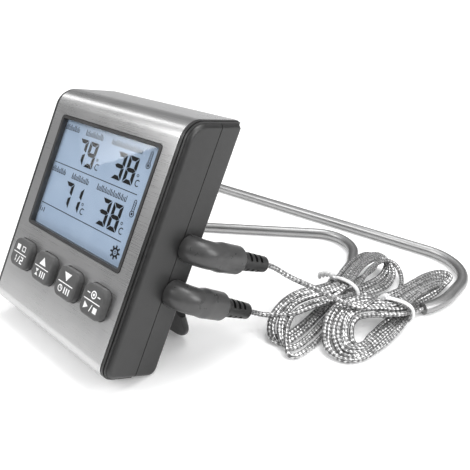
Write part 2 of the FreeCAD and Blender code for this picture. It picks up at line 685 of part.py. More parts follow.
def make_back_pieces():
    """Case screws, magnets, batteries and their contacts."""
    screws = new_body("case_screws")
    for name, (x, z) in SCREWS.items():
        rod(screws, name + "Shank", "y", (x, z), ("screw_seat - screw_length", "screw_seat"),
            "screw_radius - 0.02")
        rod(screws, name + "Head", "y", (x, z), ("screw_seat", "screw_seat + screw_head_tall"), "screw_head")
        rod(screws, name + "Drive", "y", (x, z), ("screw_seat + 0.8", "screw_seat + screw_head_tall + 1"),
            "0.9", cut=True)
    magnets = new_body("magnets")
    back_face = "case_depth - shell_inset"
    for name, x in (("Left", "-magnet_apart"), ("Right", "magnet_apart")):
        rod(magnets, name, "y", (x, "magnet_height"), (f"{back_face} - magnet", back_face),
            "magnet_radius - 0.02")
    nub_way = {"low": 1, "high": -1}
    contacts = new_body("battery_contacts")
    for name, way in nub_way.items():
        z = f"cell_{name}"
        cell = new_body(f"battery_{name}")
        rod(cell, "Can", "x", ("cell_back", z), ("-cell_length / 2 + nub", "cell_length / 2 - nub"),
            "cell_radius")
        nub_span = ("cell_length / 2 - nub", "cell_length / 2")
        if way < 0:
            nub_span = ("-cell_length / 2", "-cell_length / 2 + nub")
        rod(cell, "Nub", "x", ("cell_back", z), nub_span, "nub_radius")
        z_span = (f"{z} - cell_radius + 0.4", f"{z} + cell_radius - 0.4")
        y_span = ("cell_back - cell_radius + 0.4", "cell_back + cell_radius - 0.4")
        box(contacts, f"Right{name.capitalize()}", ("bay_half - contact", "bay_half"), y_span, z_span)
        box(contacts, f"Left{name.capitalize()}", ("-bay_half", "-bay_half + contact"), y_span, z_span)
        if way > 0:
            rod(contacts, "SpringLow", "x", ("cell_back", z),
                ("-bay_half + contact", "-cell_length / 2 + nub"), "spring_radius", "spring_tip")
            rod(contacts, "BumpLow", "x", ("cell_back", z), ("cell_length / 2", "bay_half - contact"),
                "spring_tip")
        else:
            rod(contacts, "SpringHigh", "x", ("cell_back", z),
                ("cell_length / 2 - nub", "bay_half - contact"), "spring_tip", "spring_radius")
            rod(contacts, "BumpHigh", "x", ("cell_back", z), ("-bay_half + contact", "-cell_length / 2"),
                "spring_tip")


def make_battery_door():
    """Door over the batteries: it turns out about its lower edge, and snaps in at the top."""
    door = new_body("battery_door")
    outer, inner = "case_depth - shell_inset", "case_depth - shell_inset - door"
    axis_z = "bay_low + door_gap + door / 2"
    box(door, "Plate", ("-door_half", "door_half"), (inner, outer), (axis_z, "bay_high - door_gap"))
    rod(door, "Knuckle", "x", (f"{outer} - door / 2", axis_z), ("-door_half", "door_half"), "door / 2")
    for index in range(5):
        z = f"bay_high - grip_start - {index} * grip_pitch"
        box(door, f"Grip{index}", ("-grip_half", "grip_half"), (f"{outer} - 0.4", f"{outer} + 1"),
            (f"{z} - 0.4", f"{z} + 0.4"), cut=True)


def make_kickstand():
    """Flap that props the case up, drawn hanging from its hinge and swung out to its stop."""
    hinge = Placement(Vector(0, value("hinge_back"), value("hinge_height")), Rotation())
    swing = Placement(Vector(), Rotation(Vector(1, 0, 0), value("stand_open")))
    stand = new_body("kickstand", CASE.multiply(hinge).multiply(swing))
    plate = new_sketch(stand, "PlateSketch", "y", "-stand_thick / 2")
    stand_outline(plate, 0)
    pad(stand, "Plate", plate, "stand_thick", flip=True)
    foot = -value("stand_length")
    round_edges(stand, "FootRounding", "stand_thick / 2 - 0.1",
                lambda middle, ends: abs(middle.z - foot) < 0.01)
    box(stand, "Trim", ("-stand_neck - 1", "stand_neck + 1"), ("-5", "5"), ("0", "5"), cut=True)
    rod(stand, "Barrel", "x", ("0", "0"), ("-stand_neck", "stand_neck"), "stand_barrel")
    rod(stand, "Bore", "x", ("0", "0"), ("-stand_neck - 1", "stand_neck + 1"), "stand_pin + 0.05", cut=True)
    pin = new_body("stand_pin")
    rod(pin, "Pin", "x", ("hinge_back", "hinge_height"),
        ("-stand_neck - pin_reach", "stand_neck + pin_reach"), "stand_pin")


# ---------------------------------------------------------------- plugs

def plug_place(name):
    """The plug's own axes: X out of the case's side, Y to the back before its droop."""
    droop = value(f"{name}_plug_droop")
    at_wall = Vector(value("case_half"), value("socket_back"), value(f"socket_{name}"))
    return CASE.multiply(Placement(at_wall, Rotation(Vector(1, 0, 0), droop)))


PLUG_TURN = math.radians(90 - value("plug_splay"))
PLUG_ELBOW = Vector(
    value("plug_gap + 0.3") + value("plug_bend") * math.sin(PLUG_TURN),
    value("plug_bend") * (1 - math.cos(PLUG_TURN)),
    0,
)
PLUG_WAY = Vector(math.cos(PLUG_TURN), math.sin(PLUG_TURN), 0)
BOOT_START = value("plug_flare + plug_barrel + plug_nose")
BOOT_END = PLUG_ELBOW + PLUG_WAY * (BOOT_START + value("boot"))


def turned_part(piece, name, start, length, radius, end_radius):
    """A cone or cylinder along the plug's rear barrel, start millimetres past the elbow."""
    kind = "PartDesign::AdditiveCylinder" if radius == end_radius else "PartDesign::AdditiveCone"
    feature = piece.newObject(kind, name)
    feature.Placement = Placement(PLUG_ELBOW + PLUG_WAY * start, Rotation(Vector(0, 0, 1), PLUG_WAY))
    feature.setExpression("Height", bound(length))
    if radius == end_radius:
        feature.setExpression("Radius", bound(radius))
    else:
        feature.setExpression("Radius1", bound(radius))
        feature.setExpression("Radius2", bound(end_radius))
    doc.recompute()


def make_plug(name):
    """Moulded elbow, slotted strain relief, and the metal pin."""
    place = plug_place(name)
    mould = new_body(f"plug_{name}", place)
    path = new_sketch(mould, "PathSketch", "z")
    half_turn = PLUG_TURN / 2
    bend, start = value("plug_bend"), value("plug_gap + 0.3")
    middle = (start + bend * math.sin(half_turn), bend * (1 - math.cos(half_turn)))
    draw(path, (value("plug_gap"), 0), [((start, 0),), (middle, (PLUG_ELBOW.x, PLUG_ELBOW.y))])
    ring = new_sketch(mould, "RingSketch", "x", "plug_gap")
    ring.addGeometry(Part.Circle(Vector(), Vector(0, 0, 1), value("plug_radius")), False)
    elbow = mould.newObject("PartDesign::AdditivePipe", "Elbow")
    elbow.Profile = ring
    elbow.Spine = path
    doc.recompute()
    flare, barrel = value("plug_flare"), value("plug_barrel")
    turned_part(mould, "Flare", -0.01, "plug_flare + 0.01", "plug_radius", "plug_belly")
    turned_part(mould, "Barrel", flare, "plug_barrel", "plug_belly", "plug_belly - 0.15")
    turned_part(mould, "Nose", flare + barrel, "plug_nose", "plug_belly - 0.15", "boot_thick + 0.2")
    rod(mould, "PinSeat", "x", ("0", "0"), ("0", "plug_gap + pin_hold"), "pin_radius", cut=True)

    boot = new_body(f"strain_relief_{name}", place)
    turned_part(boot, "Sleeve", BOOT_START, "boot - boot_tip", "boot_thick", "boot_thin")
    turned_part(boot, "Tip", BOOT_START + value("boot - boot_tip"), "boot_tip", "boot_thin", "boot_thin - 0.8")
    for index in range(3):
        for side in (-1, 1):
            slot = boot.newObject("PartDesign::SubtractiveBox", f"Slot{index}{'ab'[side > 0]}")
            along = BOOT_START + value("slot_start") + value("slot_pitch") * index
            corner = Vector(-5, value("boot_web") if side > 0 else -value("boot_web") - 5, 0)
            turn = Rotation(Vector(0, 0, 1), PLUG_WAY)
            slot.Placement = Placement(PLUG_ELBOW + PLUG_WAY * along + turn.multVec(corner), turn)
            slot.Length = 10
            slot.Width = 5
            slot.setExpression("Height", bound("boot_slot"))
            doc.recompute()

    pin = new_body(f"plug_pin_{name}", place)
    rod(pin, "Shank", "x", ("0", "0"), ("-pin_length", "plug_gap + pin_hold"), "pin_radius")
    rod(pin, "Tip", "x", ("0", "0"), ("-pin_length - 1", "-pin_length"), "pin_radius / 2", "pin_radius")
    rod(pin, "Collar", "x", ("0", "0"), ("-collar_back", "plug_gap"), "pin_collar")


# ---------------------------------------------------------------- probes, cords, hanks and ties

def arc_path(points, radii, label):
    """Straight runs joined by tangent arcs; radii has one number for each inner point."""
    edges = []
    here = points[0]
    for index, corner in enumerate(points[1:-1]):
        before = (points[index] - corner).normalize()
        after = (points[index + 2] - corner).normalize()
        turn = math.pi - before.getAngle(after)
        cut = radii[index] * math.tan(turn / 2)
        first, last = corner + before * cut, corner + after * cut
        inward = (before + after).normalize()
        middle = corner + inward * (radii[index] / math.cos(turn / 2) - radii[index])
        edges.append(Part.LineSegment(here, first).toShape())
        edges.append(Part.Arc(first, middle, last).toShape())
        here = last
        print(f"{label}: turn {math.degrees(turn):.1f} degrees, radius {radii[index]:.1f}")
    edges.append(Part.LineSegment(here, points[-1]).toShape())
    return Part.Wire(edges)


def free_radii(points):
    """The largest arc that each inner point's runs allow: 0.45 of the shorter run."""
    radii = []
    for before, corner, after in zip(points, points[1:], points[2:]):
        turn = math.pi - (before - corner).getAngle(after - corner)
        shorter = min((before - corner).Length, (after - corner).Length)
        radii.append(0.45 * shorter / math.tan(turn / 2))
    return radii


def round_tube(path, radius, label):
    """A round bar along a path, its volume compared with section times length."""
    start = path.Edges[0].valueAt(path.Edges[0].FirstParameter)
    way = path.Edges[0].tangentAt(path.Edges[0].FirstParameter)
    ring = Part.Wire([Part.Circle(start, way, radius).toShape()])
    tube = path.makePipeShell([ring], True, True)
    ratio = tube.Volume / (math.pi * radius ** 2 * path.Length)
    print(f"{label}: length {path.Length:.1f}, volume ratio {ratio:.4f}")
    return tube


def new_feature(label, shape, place=TABLE):
    """A node whose shape is computed from the sheet's sizes."""
    piece = doc.addObject("Part::Feature", label)
    piece.Label = label
    piece.Shape = shape
    piece.Placement = place
    NODES.append(piece)


# Each probe lies flat: tip, bend, and the run that goes into its hank. X and Y on the table.
PROBES = {
    "far": [(-70, 138.5), (99.0, 149.9), (98.9, 108.0), (94.4, 99.1)],
    "near": [(-108, 35.2), (39.8, 139.0), (53.4, 111.2), (55.4, 101)],
}


def make_probe(name):
    """Steel probe: thin pointed tip, straight shank, and a bend near the cord's end."""
    radius, thin = value("probe"), value("probe_thin")
    points = [Vector(x, y, radius) for x, y in PROBES[name]]
    way = (points[1] - points[0]).normalize()
    tip = points[0]
    shank_start = tip + way * value("probe_taper + probe_tip")
    bends = [value(f"{name}_bend"), value(f"{name}_sweep")]
    path = arc_path([shank_start] + points[1:], bends, f"probe_{name}")
    shank = round_tube(path, radius, f"probe_{name}")
    point = Part.makeCone(0.3, thin, value("probe_tip"), tip, way)
    taper = Part.makeCone(thin, radius, value("probe_taper"), tip + way * value("probe_tip"), way)
    new_feature(f"probe_{name}", shank.fuse([point, taper]).removeSplitter())


# Stations along each hank, on the table: Y, middle in X, half width.
HANKS = {
    "near": [
        (41.5, 66, 5), (50, 62, 10), (58, 60, 9), (66, 60.7, 8.2), (74, 63.2, 7.4), (81, 65, 7),
        (85, 65, 7), (96, 67.5, 9.3), (107, 69.4, 11), (116, 69.5, 8.5), (121, 67.5, 3.5),
    ],
    "far": [
        (50, 82.5, 4), (56, 81.5, 8.8), (63, 81.2, 11.2), (70, 81.2, 11.3), (76.5, 82.6, 10.8),
        (83, 86.2, 7.3), (87, 87.2, 7.3), (95, 87.6, 6.2), (102, 87.8, 5.1), (111, 90.2, 5.0),
        (120, 91.2, 5.0), (127, 91.6, 2.5),
    ],
}


def hank_section(y, middle, half, high, grow=0.0):
    """An upright ellipse across a hank."""
    centre = Vector(middle, y, value("hank_centre_high"))
    wide, tall = half + grow, high + grow
    if wide >= tall:
        ellipse = Part.Ellipse(centre + Vector(wide, 0, 0), centre + Vector(0, 0, tall), centre)
    else:
        ellipse = Part.Ellipse(centre + Vector(0, 0, tall), centre + Vector(-wide, 0, 0), centre)
    return Part.Wire([ellipse.toShape()])


def hank_height(stations, index):
    """Half height at a station: lower at both ends."""
    at_end = index in (0, len(stations) - 1)
    return value("hank_half_high") - (2.0 if at_end else 0)


def make_hank(name, tie_at):
    """The outer shape of a hank of cord, and the tie round its waist."""
    stations = HANKS[name]
    sections = [
        hank_section(y, middle, half, hank_height(stations, index))
        for index, (y, middle, half) in enumerate(stations)
    ]
    new_feature(f"hank_{name}", Part.makeLoft(sections, True, True))
    y, middle, half = stations[tie_at]
    next_y, next_middle, _ = stations[tie_at + 1]
    wide = value("tie_wide")
    y_start = (y + next_y - wide) / 2
    lean = (next_middle - middle) / (next_y - y)
    x_start = middle + lean * (y_start - y)

    def sleeve(grow):
        ends = [
            hank_section(y_start, x_start, half, hank_height(stations, tie_at), grow),
            hank_section(y_start + wide, x_start + lean * wide, half, hank_height(stations, tie_at), grow),
        ]
        return Part.makeLoft(ends, True, True)

    new_feature(f"tie_{name}", sleeve(value("tie")).cut(sleeve(0)))


# Inner points of each lead's route from its strain relief to its hank, on the table.
LEADS = {
    "high": [(54.2, 57.6, 21.0), (61.2, 63.2, 16.8), (70.0, 67.6, 13.0), (79.5, 71.5, 9.6)],
    "low": [(51.8, 46.2, 7.4), (55.5, 50.0, 7.1), (59.5, 53.0, 7.2)],
}


def make_lead(name):
    """Cord between a plug and its hank."""
    to_table = TABLE.inverse().multiply(plug_place(name))
    start = to_table.multVec(BOOT_END)
    way = to_table.Rotation.multVec(PLUG_WAY)
    points = [start, start + way * 5] + [Vector(*point) for point in LEADS[name]]
    print(f"lead_{name} starts at {start}, heading {way}")
    path = arc_path(points, free_radii(points), f"lead_{name}")
    new_feature(f"lead_{name}", round_tube(path, value("cord"), f"lead_{name}"))


# ---------------------------------------------------------------- the whole thermometer

make_front_shell()
make_steel_panel()
make_display()
make_keys()
make_boards()
make_sockets()
make_switches()
make_rear_cover()
make_back_pieces()
make_battery_door()
make_kickstand()
for side in ("high", "low"):
    make_plug(side)
for side in ("far", "near"):
    make_probe(side)
make_hank("near", 5)
make_hank("far", 5)
for side in ("high", "low"):
    make_lead(side)
doc.recompute()

for item in doc.Objects:
    if "Invalid" in item.State or "Error" in item.State:
        raise RuntimeError(f"{item.Label} failed: {item.State}")
os.makedirs("parts", exist_ok=True)
for piece in NODES:
    if piece.Shape.isNull() or not piece.Shape.isValid():
        raise RuntimeError(f"{piece.Label} has no valid shape")
    piece.Shape.exportStep(f"parts/{piece.Label}.step")
case_box = FreeCAD.BoundBox()
for piece in NODES:
    if piece.Label in ("front_shell", "rear_cover", "steel_panel", "kickstand"):
        case_box.add(piece.Shape.BoundBox)
print("case and stand:", case_box)
print(len(NODES), "nodes")
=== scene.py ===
"""Countertop meat thermometer with two wired probes: the looks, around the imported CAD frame.

Lengths are millimetres, but the camera's, the lights' and the floor's are metres. Face points are in the
case's own axes, as X along the width, Y from the steel face to the back and Z up the face. Table points
have Z = 0 on the table.
"""
import json
import math
import random

import bmesh
import bpy
import numpy as np
from mathutils import Matrix, Vector


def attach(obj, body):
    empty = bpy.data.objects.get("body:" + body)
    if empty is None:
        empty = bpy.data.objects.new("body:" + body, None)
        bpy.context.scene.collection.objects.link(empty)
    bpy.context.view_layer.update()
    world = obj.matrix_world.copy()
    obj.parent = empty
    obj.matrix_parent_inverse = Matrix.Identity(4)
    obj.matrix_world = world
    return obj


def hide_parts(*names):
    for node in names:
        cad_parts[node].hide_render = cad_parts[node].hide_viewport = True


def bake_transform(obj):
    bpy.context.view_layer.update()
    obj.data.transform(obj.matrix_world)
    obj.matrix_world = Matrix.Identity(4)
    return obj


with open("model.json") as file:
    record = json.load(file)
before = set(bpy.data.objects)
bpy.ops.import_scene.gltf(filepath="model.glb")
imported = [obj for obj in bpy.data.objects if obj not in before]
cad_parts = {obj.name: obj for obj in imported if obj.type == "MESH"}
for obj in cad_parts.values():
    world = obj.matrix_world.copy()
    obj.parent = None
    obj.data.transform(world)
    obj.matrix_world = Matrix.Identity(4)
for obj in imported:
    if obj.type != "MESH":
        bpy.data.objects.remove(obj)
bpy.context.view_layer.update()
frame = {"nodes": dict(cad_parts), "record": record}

MM = 0.001
ORIGIN_BACK = 15.25
LEAN = math.radians(30.28)
REAR_EDGE = Vector((0, 22.1127, 0.7093))
CASE = (
    Matrix.Translation((0, -ORIGIN_BACK * MM, 0))
    @ Matrix.Rotation(-LEAN, 4, "X")
    @ Matrix.Translation(-REAR_EDGE * MM)
)


def on_table(x, y, z):
    """A table point in the frame's metres."""
    return Vector((x, y - ORIGIN_BACK, z)) * MM


def on_case(x, y, z):
    """A point of the case's own axes in the frame's metres."""
    return CASE @ (Vector((x, y, z)) * MM)


# ---------------------------------------------------------------- camera

CAMERA_AT = Vector((0.15164, -0.09726, 0.12761))
CAMERA_RIGHT = Vector((0.74411, 0.66805, 0)).normalized()
CAMERA_AHEAD = Vector((-0.59209, 0.65950, -0.46313)).normalized()
LENS, SENSOR = 38.86, 36.0


def make_camera():
    """Camera in front of the case and to its right, a little above it."""
    data = bpy.data.cameras.new("Camera")
    camera = bpy.data.objects.new("Camera", data)
    bpy.context.scene.collection.objects.link(camera)
    up = CAMERA_RIGHT.cross(CAMERA_AHEAD)
    turn = Matrix((CAMERA_RIGHT, up, -CAMERA_AHEAD)).transposed()
    camera.matrix_world = Matrix.Translation(CAMERA_AT) @ turn.to_4x4()
    data.lens = LENS
    data.sensor_width = SENSOR
    data.clip_start = 0.005
    data.clip_end = 50
    bpy.context.scene.camera = camera


make_camera()

# ---------------------------------------------------------------- materials


class Nodes:
    """A material's node tree with short calls to add and join nodes."""

    def __init__(self, name):
        self.material = bpy.data.materials.new(name)
        self.material.use_nodes = True
        self.tree = self.material.node_tree
        self.shader = self.tree.nodes["Principled BSDF"]
        self.output = self.tree.nodes["Material Output"]

    def add(self, kind, **settings):
        node = self.tree.nodes.new("ShaderNode" + kind)
        for name, setting in settings.items():
            if name in node.inputs:
                node.inputs[name].default_value = setting
            else:
                setattr(node, name, setting)
        return node

    def join(self, output, socket):
        self.tree.links.new(output, socket)

    def math(self, operation, *values):
        """A Math node; each value is a number or an output."""
        node = self.add("Math", operation=operation)
        for socket, given in zip(node.inputs, values):
            if isinstance(given, (int, float)):
                socket.default_value = given
            else:
                self.join(given, socket)
        return node.outputs[0]

    def place(self, stretch=(1, 1, 1)):
        """Object coordinates in millimetres, divided by how far a pattern is stretched each way."""
        where = self.add("TexCoord")
        size = self.add("Mapping")
        size.inputs["Scale"].default_value = [1 / MM / along for along in stretch]
        self.join(where.outputs["Object"], size.inputs["Vector"])
        return size.outputs["Vector"]

    def noise(self, scale, stretch=(1, 1, 1), detail=4.0, rough=0.55):
        """Noise with about that many features to a millimetre."""
        noise = self.add("TexNoise", Scale=scale, Detail=detail, Roughness=rough)
        self.join(self.place(stretch), noise.inputs["Vector"])
        return noise.outputs["Fac"]

    def span(self, value, low, high, at=(0.3, 0.7)):
        """The value spread over low to high."""
        spread = self.add("MapRange")
        spread.inputs["From Min"].default_value = at[0]
        spread.inputs["From Max"].default_value = at[1]
        spread.inputs["To Min"].default_value = low
        spread.inputs["To Max"].default_value = high
        self.join(value, spread.inputs["Value"])
        return spread.outputs["Result"]

    def colours(self, value, first, last, at=(0.3, 0.7)):
        """The value as a blend between two colours."""
        ramp = self.add("ValToRGB")
        ramp.color_ramp.elements[0].position = at[0]
        ramp.color_ramp.elements[0].color = (*first, 1)
        ramp.color_ramp.elements[1].position = at[1]
        ramp.color_ramp.elements[1].color = (*last, 1)
        self.join(value, ramp.inputs["Fac"])
        return ramp.outputs["Color"]

    def bump(self, height, depth, strength=0.5):
        """Bump of that depth in millimetres, on the shader's normal."""
        bump = self.add("Bump", Strength=strength, Distance=depth * MM)
        self.join(height, bump.inputs["Height"])
        self.join(bump.outputs["Normal"], self.shader.inputs["Normal"])

    def set(self, **values):
        for name, value in values.items():
            self.shader.inputs[name.replace("_", " ")].default_value = value
        return self

    def paint(self, first, last, rough, fac):
        """Colour and roughness that vary together with a value."""
        self.join(self.colours(fac, first, last), self.shader.inputs["Base Color"])
        self.join(self.span(fac, *rough), self.shader.inputs["Roughness"])


def grey(level):
    return (level, level, level)


def moulded(name, first, last, rough=(0.42, 0.55), grain=5.0, depth=0.02, specular=0.45):
    """Moulded plastic: spark-eroded grain, and faint cloudy wear in colour and gloss."""
    make = Nodes(name).set(Specular_IOR_Level=specular)
    make.paint(first, last, rough, make.noise(0.25))
    make.bump(make.noise(grain, detail=2.0), depth, 0.35)
    return make.material


def brushed(name, first, last, stretch, rough, scale=6.0, depth=0.008, strength=0.25):
    """Brushed metal: fine scratches along one way, over broad soft changes of tone."""
    make = Nodes(name).set(Metallic=1.0)
    lines = make.noise(scale, stretch, detail=6.0, rough=0.7)
    clouds = make.noise(0.06, detail=2.0)
    both = make.math("ADD", make.math("MULTIPLY", lines, 0.7), make.math("MULTIPLY", clouds, 0.3))
    make.paint(first, last, rough, both)
    make.bump(lines, depth, strength)
    return make.material


def rubber(name, first, last, rough=(0.6, 0.75)):
    """Silicone or soft rubber: fine matt grain with a light bloom."""
    make = Nodes(name).set(Specular_IOR_Level=0.3, Sheen_Weight=0.15, Sheen_Roughness=0.5)
    make.paint(first, last, rough, make.noise(0.6))
    make.bump(make.noise(9.0, detail=2.0), 0.015, 0.4)
    return make.material


BRAID_ROUND, BRAID_PITCH = 4, 3.4


def braid_material():
    """Wire braid with painted shade: darker between its crossings and between its wires; the map's U runs
    round the cord and V along it.
    """
    make = Nodes("cord_braid").set(Metallic=0.75)
    where = make.add("UVMap", uv_map="braid")
    split = make.add("SeparateXYZ")
    make.join(where.outputs["UV"], split.inputs["Vector"])
    round_cord = make.math("MULTIPLY", split.outputs["X"], math.tau * BRAID_ROUND)
    along = make.math("MULTIPLY", split.outputs["Y"], math.tau)
    left = make.math("SINE", make.math("ADD", round_cord, along))
    right = make.math("SINE", make.math("SUBTRACT", round_cord, along))
    crossing = make.math("MULTIPLY", left, right)
    wires = make.math("SINE", make.math("MULTIPLY", make.math("ADD", round_cord, along), 4.0))
    uneven = make.add("TexNoise", Scale=1.0, Detail=3.0, Roughness=0.6)
    stretch = make.add("Mapping")
    stretch.inputs["Scale"].default_value = (5, 2.2, 1)
    make.join(where.outputs["UV"], stretch.inputs["Vector"])
    make.join(stretch.outputs["Vector"], uneven.inputs["Vector"])
    flecks = make.math("MULTIPLY_ADD", uneven.outputs["Fac"], 3.0, -1.5)
    # Painted shade: through the base colour, the braid goes darker where its strands dip between crossings
    # and between wires; the flecks and the broad noise are random tone.
    strand = make.math("MULTIPLY_ADD", wires, 0.15, make.math("MULTIPLY_ADD", crossing, 0.6, flecks))
    tone = make.math("MULTIPLY_ADD", make.noise(0.12, detail=1.0), 0.6, strand)
    make.join(make.colours(tone, grey(0.13), grey(0.78), (0.0, 0.95)), make.shader.inputs["Base Color"])
    make.join(make.span(tone, 0.5, 0.25, (0.0, 0.8)), make.shader.inputs["Roughness"])
    make.bump(strand, 0.1, 0.35)
    return make.material


def lens_material():
    """Clear window: see-through, with a glossy face."""
    make = Nodes("lens")
    clear = make.add("BsdfTransparent")
    clear.inputs["Color"].default_value = (0.985, 0.99, 0.995, 1)
    gloss = make.add("BsdfGlossy")
    fresnel = make.add("Fresnel", IOR=1.28)
    inside = make.add("NewGeometry").outputs["Backfacing"]
    edge = make.math("MULTIPLY", fresnel.outputs["Fac"], make.math("SUBTRACT", 1.0, inside))
    mixed = make.add("MixShader")
    make.join(make.span(make.noise(0.8), 0.015, 0.045), gloss.inputs["Roughness"])
    make.join(edge, mixed.inputs["Fac"])
    make.join(clear.outputs["BSDF"], mixed.inputs[1])
    make.join(gloss.outputs["BSDF"], mixed.inputs[2])
    make.join(mixed.outputs["Shader"], make.output.inputs["Surface"])
    make.tree.nodes.remove(make.shader)
    return make.material


def lcd_material():
    """Grey-blue reflective display with a very fine polariser grain."""
    make = Nodes("lcd").set(Specular_IOR_Level=0.3)
    make.paint((0.335, 0.425, 0.55), (0.375, 0.465, 0.585), (0.4, 0.5), make.noise(0.1))
    make.bump(make.noise(12.0, detail=1.0), 0.004, 0.3)
    return make.material


def board_material():
    """Green laminate with copper tracks under the mask."""
    make = Nodes("board_laminate").set(Specular_IOR_Level=0.5, Coat_Weight=0.3)
    tracks = make.add("TexBrick", Scale=1.0)
    tracks.inputs["Mortar Size"].default_value = 0.16
    tracks.inputs["Brick Width"].default_value = 3.6
    tracks.inputs["Row Height"].default_value = 1.3
    turned = make.add("Mapping")
    turned.inputs["Rotation"].default_value = (math.pi / 2, 0, 0)
    make.join(make.place(), turned.inputs["Vector"])
    make.join(turned.outputs["Vector"], tracks.inputs["Vector"])
    make.paint((0.012, 0.10, 0.035), (0.03, 0.21, 0.08), (0.3, 0.4), tracks.outputs["Fac"])
    make.bump(tracks.outputs["Fac"], 0.03, 0.4)
    return make.material


def cell_material():
    """Battery jacket: printed film in two plain colours, with a fine print grain."""
    make = Nodes("cell_jacket").set(Metallic=0.4, Coat_Weight=0.5, Coat_Roughness=0.15)
    split = make.add("SeparateXYZ")
    make.join(make.place(), split.inputs["Vector"])
    along = make.math("GREATER_THAN", split.outputs["X"], 8.0)
    worn = make.math("MULTIPLY_ADD", make.noise(1.5), 0.2, along)
    make.join(make.colours(worn, (0.02, 0.05, 0.03), (0.62, 0.33, 0.10), (0.35, 0.65)),
              make.shader.inputs["Base Color"])
    make.join(make.span(make.noise(2.0), 0.25, 0.4), make.shader.inputs["Roughness"])
    return make.material


def print_material(name, first, last, rough=(0.35, 0.5)):
    """Ink or film: nearly even, with slight print mottle."""
    make = Nodes(name).set(Specular_IOR_Level=0.2)
    make.paint(first, last, rough, make.noise(3.0))
    make.bump(make.noise(10.0), 0.005, 0.3)
    return make.material


MATERIALS = {
    "case_plastic": moulded("case_plastic", grey(0.02), grey(0.027), (0.3, 0.42), 6.0, 0.015, 0.5),
    "steel_face": brushed("steel_face", grey(0.46), grey(0.57), (40, 0.35, 0.35), (0.25, 0.33), 2.4, 0.004),
    "bezel_plastic": moulded("bezel_plastic", grey(0.035), grey(0.05), (0.3, 0.4), 6.0, 0.01, 0.5),
    "lens": lens_material(),
    "lcd": lcd_material(),
    "light_plastic": moulded("light_plastic", grey(0.72), grey(0.8), (0.4, 0.5)),
    "contact_rubber": rubber("contact_rubber", grey(0.012), grey(0.025)),
    "key_rubber": rubber("key_rubber", grey(0.062), grey(0.08), (0.4, 0.55)),
    "board_laminate": board_material(),
    "black_plastic": moulded("black_plastic", grey(0.014), grey(0.024), (0.35, 0.5)),
    "fastener_steel": brushed("fastener_steel", grey(0.4), grey(0.6), (1, 1, 1), (0.25, 0.4), 3.0),
    "knob_plastic": moulded("knob_plastic", grey(0.012), grey(0.022), (0.4, 0.55)),
    "plated_metal": brushed(
        "plated_metal", (0.72, 0.70, 0.66), (0.82, 0.80, 0.76), (1, 1, 1), (0.12, 0.22), 2.0
    ),
    "cell_jacket": cell_material(),
    "plug_mould": moulded("plug_mould", grey(0.05), grey(0.066), (0.26, 0.4), 5.0, 0.015, 0.55),
    "relief_rubber": moulded("relief_rubber", grey(0.016), grey(0.022), (0.32, 0.45), 5.0, 0.02, 0.45),
    "probe_steel": brushed("probe_steel", grey(0.30), grey(0.42), (4, 4, 4), (0.36, 0.46), 5.0, 0.01, 0.3),
    "cord_braid": braid_material(),
    "tie_plastic": print_material("tie_plastic", grey(0.8), grey(0.88), (0.25, 0.4)),
    "ink_white": print_material("ink_white", grey(0.86), grey(0.93)),
    "ink_black": print_material("ink_black", grey(0.003), grey(0.006), (0.4, 0.5)),
    "ink_thin": print_material("ink_thin", (0.014, 0.016, 0.02), (0.028, 0.03, 0.034)),
}

# ---------------------------------------------------------------- mesh helpers


def new_piece(name, mesh, body, slot_name=None, material=None, replaces=()):
    """A piece of the object, riding on a body."""
    piece = bpy.data.objects.new(name, mesh)
    bpy.context.scene.collection.objects.link(piece)
    mesh.materials.append(MATERIALS[material or slot_name])
    if body:
        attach(piece, body)
    if replaces:
        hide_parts(*replaces)
    return piece


def spline_line(name, points, steps=10):
    """Points along a smooth NURBS spline through the route's control points."""
    curve = bpy.data.curves.new(name, "CURVE")
    curve.dimensions = "3D"
    curve.resolution_u = steps
    spline = curve.splines.new("NURBS")
    spline.points.add(len(points) - 1)
    for point, place in zip(spline.points, points):
        point.co = (*place, 1)
    spline.order_u = 3
    spline.use_endpoint_u = True
    holder = bpy.data.objects.new(name, curve)
    bpy.context.scene.collection.objects.link(holder)
    line = bpy.data.meshes.new_from_object(holder)
    places = np.array([tuple(vertex.co) for vertex in line.vertices])
    bpy.data.objects.remove(holder)
    bpy.data.curves.remove(curve)
    bpy.data.meshes.remove(line)
    return places


def even_steps(line, step):
    """The same line, resampled at an even step."""
    lengths = np.linalg.norm(np.diff(line, axis=0), axis=1)
    along = np.concatenate([[0], np.cumsum(lengths)])
    count = max(2, round(along[-1] / step))
    wanted = np.linspace(0, along[-1], count + 1)
    return np.stack([np.interp(wanted, along, line[:, axis]) for axis in range(3)], 1), wanted


def side_ways(line):
    """Two directions across the line at each point, carried along it without twist."""
    tangents = np.gradient(line, axis=0)
    tangents /= np.linalg.norm(tangents, axis=1)[:, None]
    across = np.cross(tangents[0], (0.3, 0.2, 0.93))
    first = np.zeros_like(line)
    for index, tangent in enumerate(tangents):
        across = across - tangent * across.dot(tangent)
        across /= np.linalg.norm(across)
        first[index] = across
    return first, np.cross(tangents, first)


